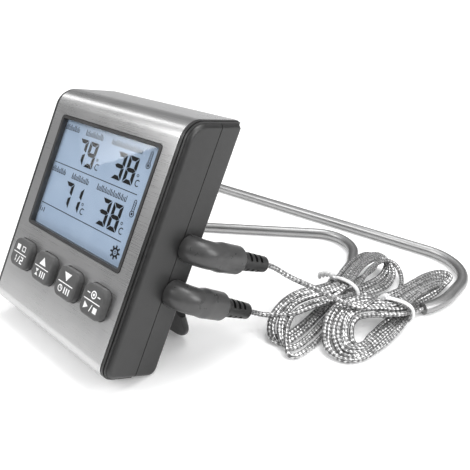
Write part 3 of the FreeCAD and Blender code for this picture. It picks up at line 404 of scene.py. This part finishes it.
def tube_mesh(name, line, radii, uv=None, uv_along=None):
    """A closed tube; radii has one number for each ring and side."""
    first, second = side_ways(line)
    rings, sides = radii.shape
    turns = np.arange(sides) * math.tau / sides
    out = first[:, None] * np.cos(turns)[None, :, None] + second[:, None] * np.sin(turns)[None, :, None]
    places = (line[:, None] + out * radii[:, :, None]).reshape(-1, 3)
    here = np.arange(rings - 1)[:, None] * sides + np.arange(sides)[None]
    beside = np.arange(rings - 1)[:, None] * sides + (np.arange(sides)[None] + 1) % sides
    quads = np.stack([here, beside, beside + sides, here + sides], -1).reshape(-1, 4)
    faces = quads.tolist()
    faces.append(list(range(sides))[::-1])
    faces.append([(rings - 1) * sides + side for side in range(sides)])
    mesh = bpy.data.meshes.new(name)
    mesh.from_pydata(places.tolist(), [], faces)
    if uv:
        layer = mesh.uv_layers.new(name=uv)
        left, right = np.arange(sides), np.arange(1, sides + 1)
        u = np.stack([left, right, right, left], -1) / sides
        low, high = uv_along[:-1], uv_along[1:]
        v = np.stack([low, low, high, high], -1)
        grid = np.zeros((rings - 1, sides, 4, 2))
        grid[..., 0] = u[None]
        grid[..., 1] = v[:, None]
        caps = np.zeros((2 * sides, 2))
        caps[sides:, 1] = uv_along[-1]
        layer.data.foreach_set("uv", np.concatenate([grid.reshape(-1, 2), caps]).ravel())
    mesh.shade_smooth()
    mesh.validate()
    return mesh


# ---------------------------------------------------------------- cords, in their hanks

CORD, CORD_STEP, CORD_SIDES = 2.2, 0.4, 15
# How far the braid's bumps go above and below the tube's mean surface, and how far that is inside CORD.
BRAID_BUMP, BRAID_INSET = 0.09, 0.08
# Where each turn lies between the first and the last; uneven, so that gaps open in the loops.
SHARES = {"near": (0, 0.24, 0.36, 0.58, 0.70, 1), "far": (0, 0.11, 0.31, 0.42, 0.63, 0.75, 1)}
# One turn of each hank, station by station: the first turn's point, the last turn's, and how far the
# turns between rise above the line from one to the other.
TURNS = {
    "near": [
        ((60.0, 80.0, 7.8), (70.0, 80.0, 7.8), 2.0),
        ((59.4, 88.0, 7.8), (69.6, 87.0, 7.8), 2.0),
        ((58.2, 97.0, 8.6), (67.6, 95.0, 8.4), 1.4),
        ((57.4, 107.0, 8.8), (65.8, 105.0, 8.6), 1.0),
        ((58.8, 117.0, 8.0), (66.6, 117.0, 7.6), 1.0),
        ((62.2, 120.5, 5.0), (71.6, 121.0, 5.0), 0.8),
        ((64.6, 116.0, 2.6), (78.2, 114.5, 2.4), 0.4),
        ((63.6, 108.0, 1.8), (81.0, 104.0, 1.8), 0),
        ((62.6, 98.0, 2.2), (77.6, 95.0, 2.0), 0),
        ((60.8, 88.0, 3.0), (70.6, 87.0, 3.0), -0.8),
        ((60.6, 77.0, 3.0), (70.4, 77.0, 3.0), -0.8),
        ((61.4, 66.0, 1.6), (71.2, 65.0, 1.6), 0),
        ((61.8, 55.0, 1.3), (72.4, 53.0, 1.3), 0),
        ((60.6, 47.0, 1.2), (72.0, 42.5, 1.2), 0),
        ((57.6, 44.2, 1.3), (69.4, 39.8, 1.6), 0.1),
        ((54.0, 46.0, 3.4), (65.4, 42.5, 3.6), 0.4),
        ((51.8, 51.0, 6.2), (60.6, 49.5, 5.6), 0.6),
        ((51.6, 58.5, 8.4), (58.8, 57.5, 7.2), 0.8),
        ((53.6, 66.5, 9.2), (61.4, 65.5, 8.4), 0.8),
        ((56.6, 73.5, 8.6), (65.6, 72.5, 8.2), 1.2),
    ],
    "far": [
        ((79.8, 86.2, 8.5), (90.4, 84.2, 8.0), 0.8),
        ((83.2, 93.2, 8.5), (90.4, 89.0, 7.8), 0.8),
        ((84.9, 103.2, 8.6), (90.8, 95.6, 7.8), 0.6),
        ((87.3, 114.8, 8.6), (91.8, 104.4, 7.6), 0.4),
        ((90.9, 125.2, 7.5), (92.8, 112.0, 6.8), 0.2),
        ((94.6, 127.0, 5.5), (93.8, 115.6, 5.6), 0.2),
        ((94.4, 122.2, 3.4), (93.6, 115.2, 4.0), 0.2),
        ((93.4, 111.2, 1.7), (91.6, 110.0, 2.2), 0.6),
        ((90.4, 101.5, 1.6), (88.6, 102.2, 2.0), 0.6),
        ((91.4, 92.0, 2.2), (88.4, 93.7, 2.4), 0.6),
        ((93.1, 84.0, 3.0), (87.4, 84.7, 3.0), -0.6),
        ((93.3, 77.6, 2.0), (86.4, 79.4, 2.0), 0.6),
        ((92.4, 68.4, 1.3), (85.8, 73.6, 1.3), 0.6),
        ((90.9, 58.0, 1.2), (86.0, 69.5, 1.2), 0),
        ((87.2, 51.6, 1.2), (86.4, 65.8, 1.2), 0),
        ((82.6, 49.8, 1.3), (85.6, 62.6, 1.3), 0),
        ((77.6, 51.6, 2.5), (84.0, 61.4, 2.0), 0),
        ((73.2, 56.2, 4.5), (81.8, 62.5, 3.4), 0),
        ((70.6, 63.3, 7.0), (79.5, 65.9, 5.5), 0.2),
        ((70.0, 70.5, 8.5), (79.2, 70.1, 7.0), 0.4),
        ((71.8, 76.5, 9.0), (82.5, 73.2, 8.0), 0.4),
        ((75.2, 81.2, 9.0), (86.8, 77.3, 8.0), 0.6),
    ],
}
# Each cord's route outside its hank: from its strain relief, and into the probe of the hank's name. Then
# whether it winds from the hank's last turn, and how far the stretch next to the plug goes, in
# metres.
CORDS = {
    "high": {
        "hank": "far",
        "lead": [(48.92, 49.06, 28.13), (49.53, 53.45, 25.81), (54.2, 57.6, 21.0), (61.2, 63.2, 16.8),
                 (70.0, 67.6, 13.0), (79.5, 71.5, 9.6), (80.6, 79.0, 10.6)],
        "tail": [(91.5, 82.0, 7.8), (92.8, 86.5, 6.6), (92.6, 90.5, 5.0), (92.3, 94.0, 3.2),
                 (93.1, 96.6, 2.5), (94.4, 99.1, 2.5)],
        "from_last": False,
        "bend_end": (0.017, 0.017, -0.013),
    },
    "low": {
        "hank": "near",
        "lead": [(48.92, 39.39, 11.57), (49.53, 43.56, 8.88), (51.8, 46.2, 7.4), (55.5, 50.0, 7.1),
                 (59.5, 53.0, 7.2), (64.6, 62.0, 9.4), (68.4, 72.0, 10.0)],
        "tail": [(59.6, 81.0, 8.2), (58.2, 88.0, 8.2), (57.0, 93.4, 4.6), (56.0, 97.6, 2.6),
                 (55.4, 101.0, 2.5)],
        "from_last": True,
        "bend_end": (0.00225, 0.0015, -0.007),
    },
}
SLACK = random.Random(11)
# How a turn differs from its neighbours: longer or shorter by a share, and swung sideways at its ends.
LONGER, SWUNG, SWUNG_AT = (-0.03, 0.04), (-1.3, 1.3), 40
# How far a point strays on the table or on top of the hank, from TOP_Z up, and in height.
STRAY_LOW, STRAY_TOP, STRAY_UP, TOP_Z = 0.4, 0.25, 0.3, 7.6


def hank_turns(name, from_last):
    """The points of all turns, worked out between the first and the last, each a little uneven."""
    shares = SHARES[name]
    if from_last:
        shares = shares[::-1]
    ends = [Vector(end) for first, last, _ in TURNS[name] for end in (first, last)]
    middle = sum(ends, Vector()) / len(ends)
    places = []
    for share in shares:
        reach, lean = SLACK.uniform(*LONGER), SLACK.uniform(*SWUNG)
        for first, last, rise in TURNS[name]:
            place = Vector(first).lerp(Vector(last), share)
            place.z += rise * 4 * share * (1 - share)
            place.y += reach * (place.y - middle.y)
            place.x += lean * (place.y - middle.y) / SWUNG_AT
            stray = STRAY_LOW if place.z < TOP_Z else STRAY_TOP
            place.x += SLACK.uniform(-stray, stray)
            place.y += SLACK.uniform(-stray, stray)
            place.z = max(place.z + SLACK.uniform(-STRAY_UP, STRAY_UP), CORD / 2 + 0.05)
            places.append(place)
    return places


def braid_radii(along):
    """Ring radii in metres, with a low bump where the braid's strands cross."""
    round_cord = np.arange(CORD_SIDES) * math.tau / CORD_SIDES * BRAID_ROUND
    pitch = along[:, None] / (BRAID_PITCH * MM) * math.tau
    crossing = np.sin(round_cord[None] + pitch) * np.sin(round_cord[None] - pitch)
    return (CORD / 2 - BRAID_INSET + BRAID_BUMP * crossing) * MM


def make_cord(name, facts):
    """One cord: lead, hank turns and the end in its probe, as a tube with the braid's bumps."""
    route = facts["lead"] + hank_turns(facts["hank"], facts["from_last"]) + facts["tail"]
    line = spline_line(f"route_{name}", [on_table(*place) for place in route])
    line, along = even_steps(line, CORD_STEP * MM)
    mesh = tube_mesh(f"cord_{name}", line, braid_radii(along), "braid", along / (BRAID_PITCH * MM))
    cord = new_piece(f"cord_{name}", mesh, None, "cord_braid",
                     replaces=(f"lead_{name}", f"hank_{facts['hank']}"))
    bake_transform(cord)


for cord_name, cord_facts in CORDS.items():
    make_cord(cord_name, cord_facts)

# ---------------------------------------------------------------- ties round the hanks

# Middle of each ring, its half width and half height, how far its axis turns from Y, the angle that its
# ends leave it at, and how far they reach.
TIES = {
    "near": {"at": (65.0, 83.6, 6.3), "half": (7.3, 5.3), "turn": -0.02, "ends_at": 2.1, "ends": 9.0},
    "far": {"at": (87.6, 85.6, 5.9), "half": (7.4, 5.0), "turn": 0.25, "ends_at": 1.9, "ends": 4.0},
}


BAND_STEPS, BAND_SIDES = 72, 12
BAND_FLAT = 0.8  # power of the sine and cosine: 1 is an ellipse, and less is nearer a box
RIBBON_WIDE, RIBBON_WIRE, RIBBON_EDGE = 1.15, 0.62, 0.5  # half widths and half thicknesses
STRAND_STEPS, STRAND_SIDES, STRAND_RADIUS = 60, 10, 0.75
STRAND_TURNS, STRAND_DROOP = 2.2, 4.0


def make_tie_band(name, at, ahead, middle):
    """The plastic ribbon over a wire, once round the hank; at gives the band's point for an angle."""
    mesh = bpy.data.meshes.new(f"tie_{name}")
    build = bmesh.new()
    rings = []
    for step in range(BAND_STEPS):
        here = at(math.tau * step / BAND_STEPS)
        out = (here - middle).normalized()
        ring = []
        for corner in range(BAND_SIDES):
            turn = math.tau * corner / BAND_SIDES
            thick = RIBBON_WIRE if abs(math.cos(turn)) < 0.5 else RIBBON_EDGE
            edge = ahead * math.cos(turn) * RIBBON_WIDE * MM + out * math.sin(turn) * thick * MM
            ring.append(build.verts.new(here + edge))
        rings.append(ring)
    for ring, after in zip(rings, rings[1:] + rings[:1]):
        for corner in range(BAND_SIDES):
            beside = (corner + 1) % BAND_SIDES
            build.faces.new((ring[corner], ring[beside], after[beside], after[corner]))
    bmesh.ops.recalc_face_normals(build, faces=build.faces)
    build.to_mesh(mesh)
    build.free()
    mesh.shade_smooth()
    new_piece(f"tie_band_{name}", mesh, "root", "tie_plastic", replaces=(f"tie_{name}",))


def make_tie_end(name, strand, start, outward, across, ahead):
    """One of the ribbon's two ends, wound round the other and drooping away from the hank."""
    line = []
    for step in range(STRAND_STEPS):
        share = step / (STRAND_STEPS - 1)
        twist = share * math.tau * STRAND_TURNS + strand * math.pi
        reach = TIES[name]["ends"] * MM * share
        place = start + outward * (0.6 * MM + reach * 0.12) - across * reach * 0.8
        place.z -= STRAND_DROOP * MM * share * share
        spread = (0.7 + 0.6 * max(0, share - 0.7)) * MM
        line.append(place + (ahead * math.cos(twist) + outward * math.sin(twist)) * spread)
    line = np.array([tuple(place) for place in line])
    radii = np.full((STRAND_STEPS, STRAND_SIDES), STRAND_RADIUS * MM)
    radii[0] *= 0.6
    radii[-1] *= 0.6
    new_piece(f"tie_end_{name}_{strand}", tube_mesh("tie_end", line, radii), "root", "tie_plastic")


def make_tie(name):
    """Twist tie: a ribbon once round the hank, its ends twisted together."""
    facts = TIES[name]
    middle = on_table(*facts["at"])
    wide, tall = (half * MM for half in facts["half"])
    across = Vector((math.cos(facts["turn"]), math.sin(facts["turn"]), 0))
    ahead = Vector((-across.y, across.x, 0))

    def at(angle):
        """A point on a rounded-box loop round the bundle."""
        side = math.copysign(abs(math.cos(angle)) ** BAND_FLAT, math.cos(angle))
        up = math.copysign(abs(math.sin(angle)) ** BAND_FLAT, math.sin(angle))
        return middle + across * wide * side + Vector((0, 0, tall * up))

    make_tie_band(name, at, ahead, middle)
    start = at(facts["ends_at"])
    outward = (start - middle).normalized()
    for strand in range(2):
        make_tie_end(name, strand, start, outward, across, ahead)


for tie_name in TIES:
    make_tie(tie_name)

# ---------------------------------------------------------------- display and key marks


def circle_points(x, z, radius, sides=24, start=0.0):
    """Corners of a round or regular outline on the face."""
    turns = [start + math.tau * index / sides for index in range(sides)]
    return [(x + radius * math.cos(turn), z + radius * math.sin(turn)) for turn in turns]


def bar_points(x_low, z_low, x_high, z_high):
    return [(x_low, z_low), (x_high, z_low), (x_high, z_high), (x_low, z_high)]


def ring_parts(x, z, radius, stroke, sides=24, share=1.0, start=0.0):
    """A ring, or an arc of one, as short quads."""
    parts = []
    count = max(3, round(sides * share))
    for index in range(count):
        first = start + math.tau * share * index / count
        last = start + math.tau * share * (index + 1) / count
        inner = radius - stroke
        corners = ((radius, first), (radius, last), (inner, last), (inner, first))
        parts.append([(x + reach * math.cos(turn), z + reach * math.sin(turn)) for reach, turn in corners])
    return parts


SEGMENTS_ON = {"1": "bc", "2": "abged", "3": "abgcd", "7": "abc", "8": "abcdefg", "9": "abcdfg"}


def digit_parts(digit, x, z, wide=5.3, tall=9.7, thick=1.5, gap=0.22):
    """The lit segments of a seven-segment digit whose lower left corner is at x, z."""
    middle = tall / 2
    left_low = [(0, gap), (thick, thick + gap), (thick, middle - thick / 2 - gap), (0, middle - gap)]
    bottom = [(gap, 0), (wide - gap, 0), (wide - thick - gap, thick), (thick + gap, thick)]
    point = thick * 0.7
    bar = [
        (gap, middle), (point + gap, middle + thick / 2), (wide - point - gap, middle + thick / 2),
        (wide - gap, middle), (wide - point - gap, middle - thick / 2), (point + gap, middle - thick / 2),
    ]

    def over(points):
        return [(a, tall - b) for a, b in points]

    def across(points):
        return [(wide - a, b) for a, b in points]

    shapes = {
        "a": over(bottom), "b": over(across(left_low)), "c": across(left_low), "d": bottom,
        "e": left_low, "f": over(left_low), "g": bar,
    }
    return [[(x + a, z + b) for a, b in shapes[letter]] for letter in SEGMENTS_ON[digit]]


def plate_mesh(name, parts, y_front, y_back):
    """Each outline as a thin plate on the face, from y_front back to y_back."""
    build = bmesh.new()
    for outline in parts:
        front = [build.verts.new(on_case(x, y_front, z)) for x, z in outline]
        back = [build.verts.new(on_case(x, y_back, z)) for x, z in outline]
        build.faces.new(front)
        build.faces.new(back[::-1])
        for index in range(len(outline)):
            after = (index + 1) % len(outline)
            build.faces.new((front[index], back[index], back[after], front[after]))
    bmesh.ops.recalc_face_normals(build, faces=build.faces)
    mesh = bpy.data.meshes.new(name)
    build.to_mesh(mesh)
    build.free()
    return mesh


FILM_FRONT, FILM_BACK = 1.8, 2.49
FILM_SIDE, FILM_LOW, FILM_HIGH, FILM_ROUND = 28.1, 34.8, 76.7, 0.6
MARKS_RIGHT = 0.92
MARKS_FRONT, MARKS_BACK = 0.06, 0.004  # how far in front of the film
ROW_FEET = (61.8, 44.8)
ROWS = (("79", "38"), ("71", "38"))
DIGITS_LEFT, DIGIT_STEP = (-17.0, 6.4), 6.4
RULE_HEIGHTS, RULE_LEFT, RULE_RIGHT = (59.7, 43.0), -28.5, 22.3
LABELS = ((-28.6, 6), (-15.0, 7), (1.2, 11))  # the left end of each, and its number of blocks
BLOCK_STEP, BLOCK_STROKE = 1.58, 0.26
PROBE_SIGN_X = 22.8
GEAR_AT = (21.2, 38.9)


def make_display_film():
    """Polariser film over the display glass, filling the window behind the lens."""
    corners = (
        (FILM_SIDE, FILM_HIGH, 0), (-FILM_SIDE, FILM_HIGH, 1),
        (-FILM_SIDE, FILM_LOW, 2), (FILM_SIDE, FILM_LOW, 3),
    )
    outline = []
    for x, z, quarter in corners:
        middle_x = x - math.copysign(FILM_ROUND, x)
        middle_z = z - (FILM_ROUND if z == FILM_HIGH else -FILM_ROUND)
        for step in range(5):
            turn = math.pi / 2 * (quarter + step / 4)
            outline.append((middle_x + FILM_ROUND * math.cos(turn), middle_z + FILM_ROUND * math.sin(turn)))
    new_piece("display_film", plate_mesh("display_film", [outline], FILM_FRONT, FILM_BACK), "root", "lcd")


def display_marks(name, parts, material):
    """Marks just in front of the film."""
    moved = [[(x + MARKS_RIGHT, z) for x, z in outline] for outline in parts]
    mesh = plate_mesh(name, moved, FILM_FRONT - MARKS_FRONT, FILM_FRONT - MARKS_BACK)
    new_piece(name, mesh, "root", material=material)


def degree_parts(foot):
    """The degree and unit sign after each pair of digits."""
    parts = []
    for x in (-3.6, 19.7):
        parts += ring_parts(x, foot + 4.0, 0.55, 0.22, 12)
        parts += ring_parts(x + 0.9, foot + 1.5, 1.25, 0.36, 16, 0.72, math.radians(50))
    return parts


def label_parts(bottom):
    """Plain blocks in the labels' places: an upright, a foot and a second upright, not letters."""
    parts = []
    for start, blocks in LABELS:
        for index in range(blocks):
            left = start + BLOCK_STEP * index
            tall = 2.2 if (index * 7 + blocks) % 3 else 1.5
            right, foot = left + 1.1, bottom + 0.24
            parts.append(bar_points(left, bottom, left + 0.34, bottom + tall))
            parts.append(bar_points(left + BLOCK_STROKE, bottom, right, foot))
            parts.append(bar_points(right - BLOCK_STROKE, foot, right, bottom + 3.7 - tall))
    return parts


def probe_sign_parts(height):
    """A thermometer: bulb, tube with a round top, and four marks in it."""
    x = PROBE_SIGN_X
    parts = ring_parts(x, height - 1.6, 1.15, 0.28, 16) + [circle_points(x, height - 1.6, 0.5, 12)]
    parts.append(bar_points(x - 0.7, height - 0.7, x - 0.44, height + 2.7))
    parts.append(bar_points(x + 0.44, height - 0.7, x + 0.7, height + 2.7))
    parts += ring_parts(x, height + 2.7, 0.7, 0.26, 16, 0.5)
    for index in range(4):
        low = height + 0.1 + 0.7 * index
        parts.append(bar_points(x - 0.3, low, x + 0.3, low + 0.2))
    return parts


def gear_parts():
    parts = ring_parts(*GEAR_AT, 1.6, 0.6, 24)
    tooth = ((1.45, -0.42), (2.5, -0.3), (2.5, 0.3), (1.45, 0.42))
    for index in range(8):
        turn = math.tau * index / 8
        ahead, side = Vector((math.cos(turn), math.sin(turn))), Vector((-math.sin(turn), math.cos(turn)))
        parts.append([tuple(Vector(GEAR_AT) + ahead * a + side * b) for a, b in tooth])
    return parts + ring_parts(*GEAR_AT, 0.6, 0.22, 12)


def make_display_marks():
    """Digits, rules, thermometer signs, a gear sign, and plain blocks in the labels' places."""
    digits = []
    for foot, pairs in zip(ROW_FEET, ROWS):
        for pair, start in zip(pairs, DIGITS_LEFT):
            for index, digit in enumerate(pair):
                digits += digit_parts(digit, start + DIGIT_STEP * index, foot)
    display_marks("display_digits", digits, "ink_black")
    marks = [bar_points(RULE_LEFT, height - 0.14, RULE_RIGHT, height + 0.14) for height in RULE_HEIGHTS]
    for foot in ROW_FEET:
        marks += degree_parts(foot) + label_parts(foot + 11.2) + probe_sign_parts(foot + 9.9)
    for index in range(3):
        left = -28.3 + 1.3 * index
        marks.append(bar_points(left, 39.6, left + 0.4, 41.4 - 0.5 * (index % 2)))
    display_marks("display_signs", marks + gear_parts(), "ink_thin")


KEY_PITCH, KEY_HEIGHT, KEY_FRONT = 16.0, 21.7, -2.5
PRINT_PROUD, PRINT_SUNK = 0.035, 0.02


def key_marks():
    """Signs printed on the keys, each as outlines about its own key's middle, in millimetres."""
    rule = [bar_points(-4.4, -0.18, 4.4, 0.18)]
    half = digit_parts("1", -3.4, -3.7, 1.7, 2.9, 0.5, 0.03)
    half += digit_parts("2", 1.2, -3.7, 2.0, 2.9, 0.5, 0.03)
    slash = [[(-0.8, -3.7), (-0.35, -3.7), (0.75, -0.8), (0.3, -0.8)]]
    choose = [bar_points(-3.2, 1.2, -0.9, 3.3)] + [
        bar_points(*corners) for corners in
        ((0.6, 1.2, 2.9, 1.55), (0.6, 2.95, 2.9, 3.3), (0.6, 1.55, 0.95, 2.95), (2.55, 1.55, 2.9, 2.95))
    ]
    hours = [[(-3.2, -1.0), (-1.2, -1.0), (-2.2, -2.2)], [(-3.2, -3.5), (-1.2, -3.5), (-2.2, -2.3)]]
    hours += [bar_points(0.0 + 1.3 * index, -3.4, 0.6 + 1.3 * index, -1.1) for index in range(3)]
    minutes = ring_parts(-2.1, -2.25, 1.3, 0.38, 20)
    minutes += [bar_points(-2.25, -2.3, -1.95, -1.4), bar_points(-2.1, -2.4, -1.3, -2.1)]
    minutes += [bar_points(0.2 + 1.3 * index, -3.4, 0.8 + 1.3 * index, -1.1) for index in range(3)]
    confirm = ring_parts(0, 2.3, 1.4, 0.45, 24) + [circle_points(0, 2.3, 0.5, 16)]
    confirm += [bar_points(-3.6, 2.1, -2.1, 2.5), bar_points(2.1, 2.1, 3.6, 2.5)]
    run = [[(-3.4, -3.5), (-3.4, -1.0), (-1.2, -2.25)], bar_points(1.7, -3.3, 3.7, -1.3)]
    run += [[(-0.2, -3.5), (0.2, -3.5), (1.0, -1.0), (0.6, -1.0)]]
    return {
        "sel": rule + half + slash + choose,
        "up": rule + [[(-2.1, 1.0), (2.1, 1.0), (0, 4.0)]] + hours,
        "down": rule + [[(-2.1, 3.9), (0, 0.9), (2.1, 3.9)]] + minutes,
        "set": rule + confirm + run,
    }


def make_key_marks():
    """Each key's print, on that key's body so that it moves in with the key."""
    for index, (name, parts) in enumerate(key_marks().items()):
        middle = (index - 1.5) * KEY_PITCH
        moved = [[(x + middle, z + KEY_HEIGHT) for x, z in outline] for outline in parts]
        mesh = plate_mesh(f"key_print_{name}", moved, KEY_FRONT - PRINT_PROUD, KEY_FRONT + PRINT_SUNK)
        new_piece(f"key_print_{name}", mesh, f"key_{name}", material="ink_white")


make_display_film()
make_display_marks()
make_key_marks()

# ---------------------------------------------------------------- CAD nodes


SHARP_OVER = math.radians(32)
SAME_PLACE = 0.001 * MM


def smooth_group():
    """Geometry nodes that shade faces smooth, and keep edges over SHARP_OVER sharp."""
    group = bpy.data.node_groups.new("smooth_by_angle", "GeometryNodeTree")
    group.interface.new_socket("Geometry", in_out="INPUT", socket_type="NodeSocketGeometry")
    group.interface.new_socket("Geometry", in_out="OUTPUT", socket_type="NodeSocketGeometry")
    start, end = group.nodes.new("NodeGroupInput"), group.nodes.new("NodeGroupOutput")
    merge = group.nodes.new("GeometryNodeMergeByDistance")
    merge.inputs["Distance"].default_value = SAME_PLACE
    faces = group.nodes.new("GeometryNodeSetShadeSmooth")
    edges = group.nodes.new("GeometryNodeSetShadeSmooth")
    edges.domain = "EDGE"
    edges.inputs["Shade Smooth"].default_value = False
    angle = group.nodes.new("GeometryNodeInputMeshEdgeAngle")
    above = group.nodes.new("FunctionNodeCompare")
    above.inputs[1].default_value = SHARP_OVER
    group.links.new(start.outputs[0], merge.inputs[0])
    group.links.new(merge.outputs[0], faces.inputs["Geometry"])
    group.links.new(faces.outputs[0], edges.inputs["Geometry"])
    group.links.new(angle.outputs["Unsigned Angle"], above.inputs[0])
    group.links.new(above.outputs[0], edges.inputs["Selection"])
    group.links.new(edges.outputs[0], end.inputs[0])
    return group


def dress_cad_nodes():
    """Each CAD node gets its slot's material and smooth shading."""
    slots = {part["node"]: part["material_slot"] for part in frame["record"]["subparts"]}
    group = smooth_group()
    for name, node in frame["nodes"].items():
        node.data.materials.clear()
        node.data.materials.append(MATERIALS[slots[name]])
        smooth = node.modifiers.new("Smooth", "NODES")
        smooth.node_group = group


dress_cad_nodes()

# ---------------------------------------------------------------- floor and light


FLOOR_REACH = 6.0
LIGHTS_AIM = Vector((0.02, 0.03, 0.04))
GLARE_FAR, GLARE_POWER = 0.45, 17.0
LENS_FRONT = 0.35
# Corners of the glare as it shows in the window, X and Z on the case in millimetres, and its glow there.
GLARE_CORNERS = (
    ((-4.1, 62.0), 0.2), ((27.5, 77.3), 1.15), ((27.5, 80.5), 1.15), ((2.0, 80.5), 0.4),
    ((-24.0, 80.5), 0.0), ((-13.0, 66.0), 0.0),
)


def make_floor():
    """Pale floor that glows more with distance, so that its far part is as bright as the world."""
    make = Nodes("floor").set(Specular_IOR_Level=0.1, Emission_Color=(1, 1, 1, 1))
    distance = make.add("VectorMath", operation="LENGTH")
    make.join(make.add("TexCoord").outputs["Object"], distance.inputs[0])
    glow = make.span(distance.outputs["Value"], 0.2, 0.75, (0.35, 1.6))
    make.join(glow, make.shader.inputs["Emission Strength"])
    make.paint(grey(0.86), grey(0.88), (0.85, 0.9), make.noise(0.02))
    mesh = bpy.data.meshes.new("floor")
    reach = FLOOR_REACH
    corners = [(-reach, -reach, 0), (reach, -reach, 0), (reach, reach, 0), (-reach, reach, 0)]
    mesh.from_pydata(corners, [], [(0, 1, 2, 3)])
    mesh.materials.append(make.material)
    floor = bpy.data.objects.new("floor", mesh)
    bpy.context.scene.collection.objects.link(floor)


def make_world():
    """Pale all round for the camera; for the object, bright overhead and darker at the horizon."""
    world = bpy.data.worlds.new("World")
    world.use_nodes = True
    tree = world.node_tree
    background = tree.nodes["Background"]
    where = tree.nodes.new("ShaderNodeTexCoord")
    split = tree.nodes.new("ShaderNodeSeparateXYZ")
    ramp = tree.nodes.new("ShaderNodeValToRGB")
    ramp.color_ramp.elements[0].position = 0.0
    ramp.color_ramp.elements[0].color = (0.10, 0.10, 0.105, 1)
    ramp.color_ramp.elements.new(0.55).color = (0.34, 0.34, 0.345, 1)
    ramp.color_ramp.elements[-1].position = 1.0
    ramp.color_ramp.elements[-1].color = (1, 1, 1, 1)
    path = tree.nodes.new("ShaderNodeLightPath")
    mix = tree.nodes.new("ShaderNodeMix")
    mix.data_type = "RGBA"
    mix.inputs["B"].default_value = (1.2, 1.2, 1.2, 1)
    tree.links.new(where.outputs["Generated"], split.inputs["Vector"])
    tree.links.new(split.outputs["Z"], ramp.inputs["Fac"])
    tree.links.new(ramp.outputs["Color"], mix.inputs["A"])
    tree.links.new(path.outputs["Is Camera Ray"], mix.inputs["Factor"])
    tree.links.new(mix.outputs["Result"], background.inputs["Color"])
    background.inputs["Strength"].default_value = 0.95
    bpy.context.scene.world = world


def light_only(light, *nodes):
    """Let a light reach only these CAD nodes."""
    lit = bpy.data.collections.new(f"lit_by_{light.name}")
    for node in nodes:
        lit.objects.link(frame["nodes"][node])
    light.light_linking.receiver_collection = lit


def softbox(name, place, size, power):
    """A rectangular area light that faces the thermometer."""
    data = bpy.data.lights.new(name, "AREA")
    data.shape = "RECTANGLE"
    data.size, data.size_y = size
    data.energy = power
    light = bpy.data.objects.new(name, data)
    bpy.context.scene.collection.objects.link(light)
    place = Vector(place)
    light.location = place
    light.rotation_mode = "QUATERNION"
    light.rotation_quaternion = (LIGHTS_AIM - place).to_track_quat("-Z", "Y")
    return light


def glare_card():
    """A glowing card, hung where the display's window mirrors it into the camera."""
    facing = (on_case(0, -1, 0) - on_case(0, 0, 0)).normalized()
    places = []
    for (x, z), _ in GLARE_CORNERS:
        here = on_case(x, LENS_FRONT, z)
        ray = (here - CAMERA_AT).normalized()
        mirrored = ray - facing * 2 * ray.dot(facing)
        places.append(here + mirrored * GLARE_FAR)
    mesh = bpy.data.meshes.new("glare_card")
    mesh.from_pydata(places, [], [(0, 1, 3), (1, 2, 3), (0, 3, 4), (0, 4, 5)])
    glow = mesh.attributes.new("glow", "FLOAT", "POINT")
    glow.data.foreach_set("value", [level for _, level in GLARE_CORNERS])
    make = Nodes("glare_card")
    light = make.add("Emission")
    read = make.add("Attribute", attribute_name="glow")
    make.join(make.math("MULTIPLY", read.outputs["Fac"], GLARE_POWER), light.inputs["Strength"])
    make.join(light.outputs["Emission"], make.output.inputs["Surface"])
    mesh.materials.append(make.material)
    card = bpy.data.objects.new("glare_card", mesh)
    bpy.context.scene.collection.objects.link(card)
    card.visible_camera = False
    card.visible_diffuse = False
    card.visible_shadow = False
    light_only(card, "display_lens")


make_floor()
make_world()
softbox("key_light", (-0.55, -0.75, 0.95), (0.7, 0.5), 8.0)
softbox("side_light", (0.95, 0.25, 0.65), (0.5, 0.7), 6.5)
softbox("top_light", (0.1, 0.35, 1.1), (0.9, 0.5), 7.0)
glare_card()
light_only(softbox("face_light", (-0.78, -0.54, 0.24), (0.9, 0.7), 0.36), "steel_panel")
light_only(softbox("edge_light", (-0.62, 0.78, 0.16), (1.1, 0.5), 0.6), "steel_panel")
light_only(softbox("curve_light", (-0.79, 0.0, 0.61), (0.12, 0.62), 0.75), "steel_panel")
bpy.context.scene.view_settings.view_transform = "Standard"
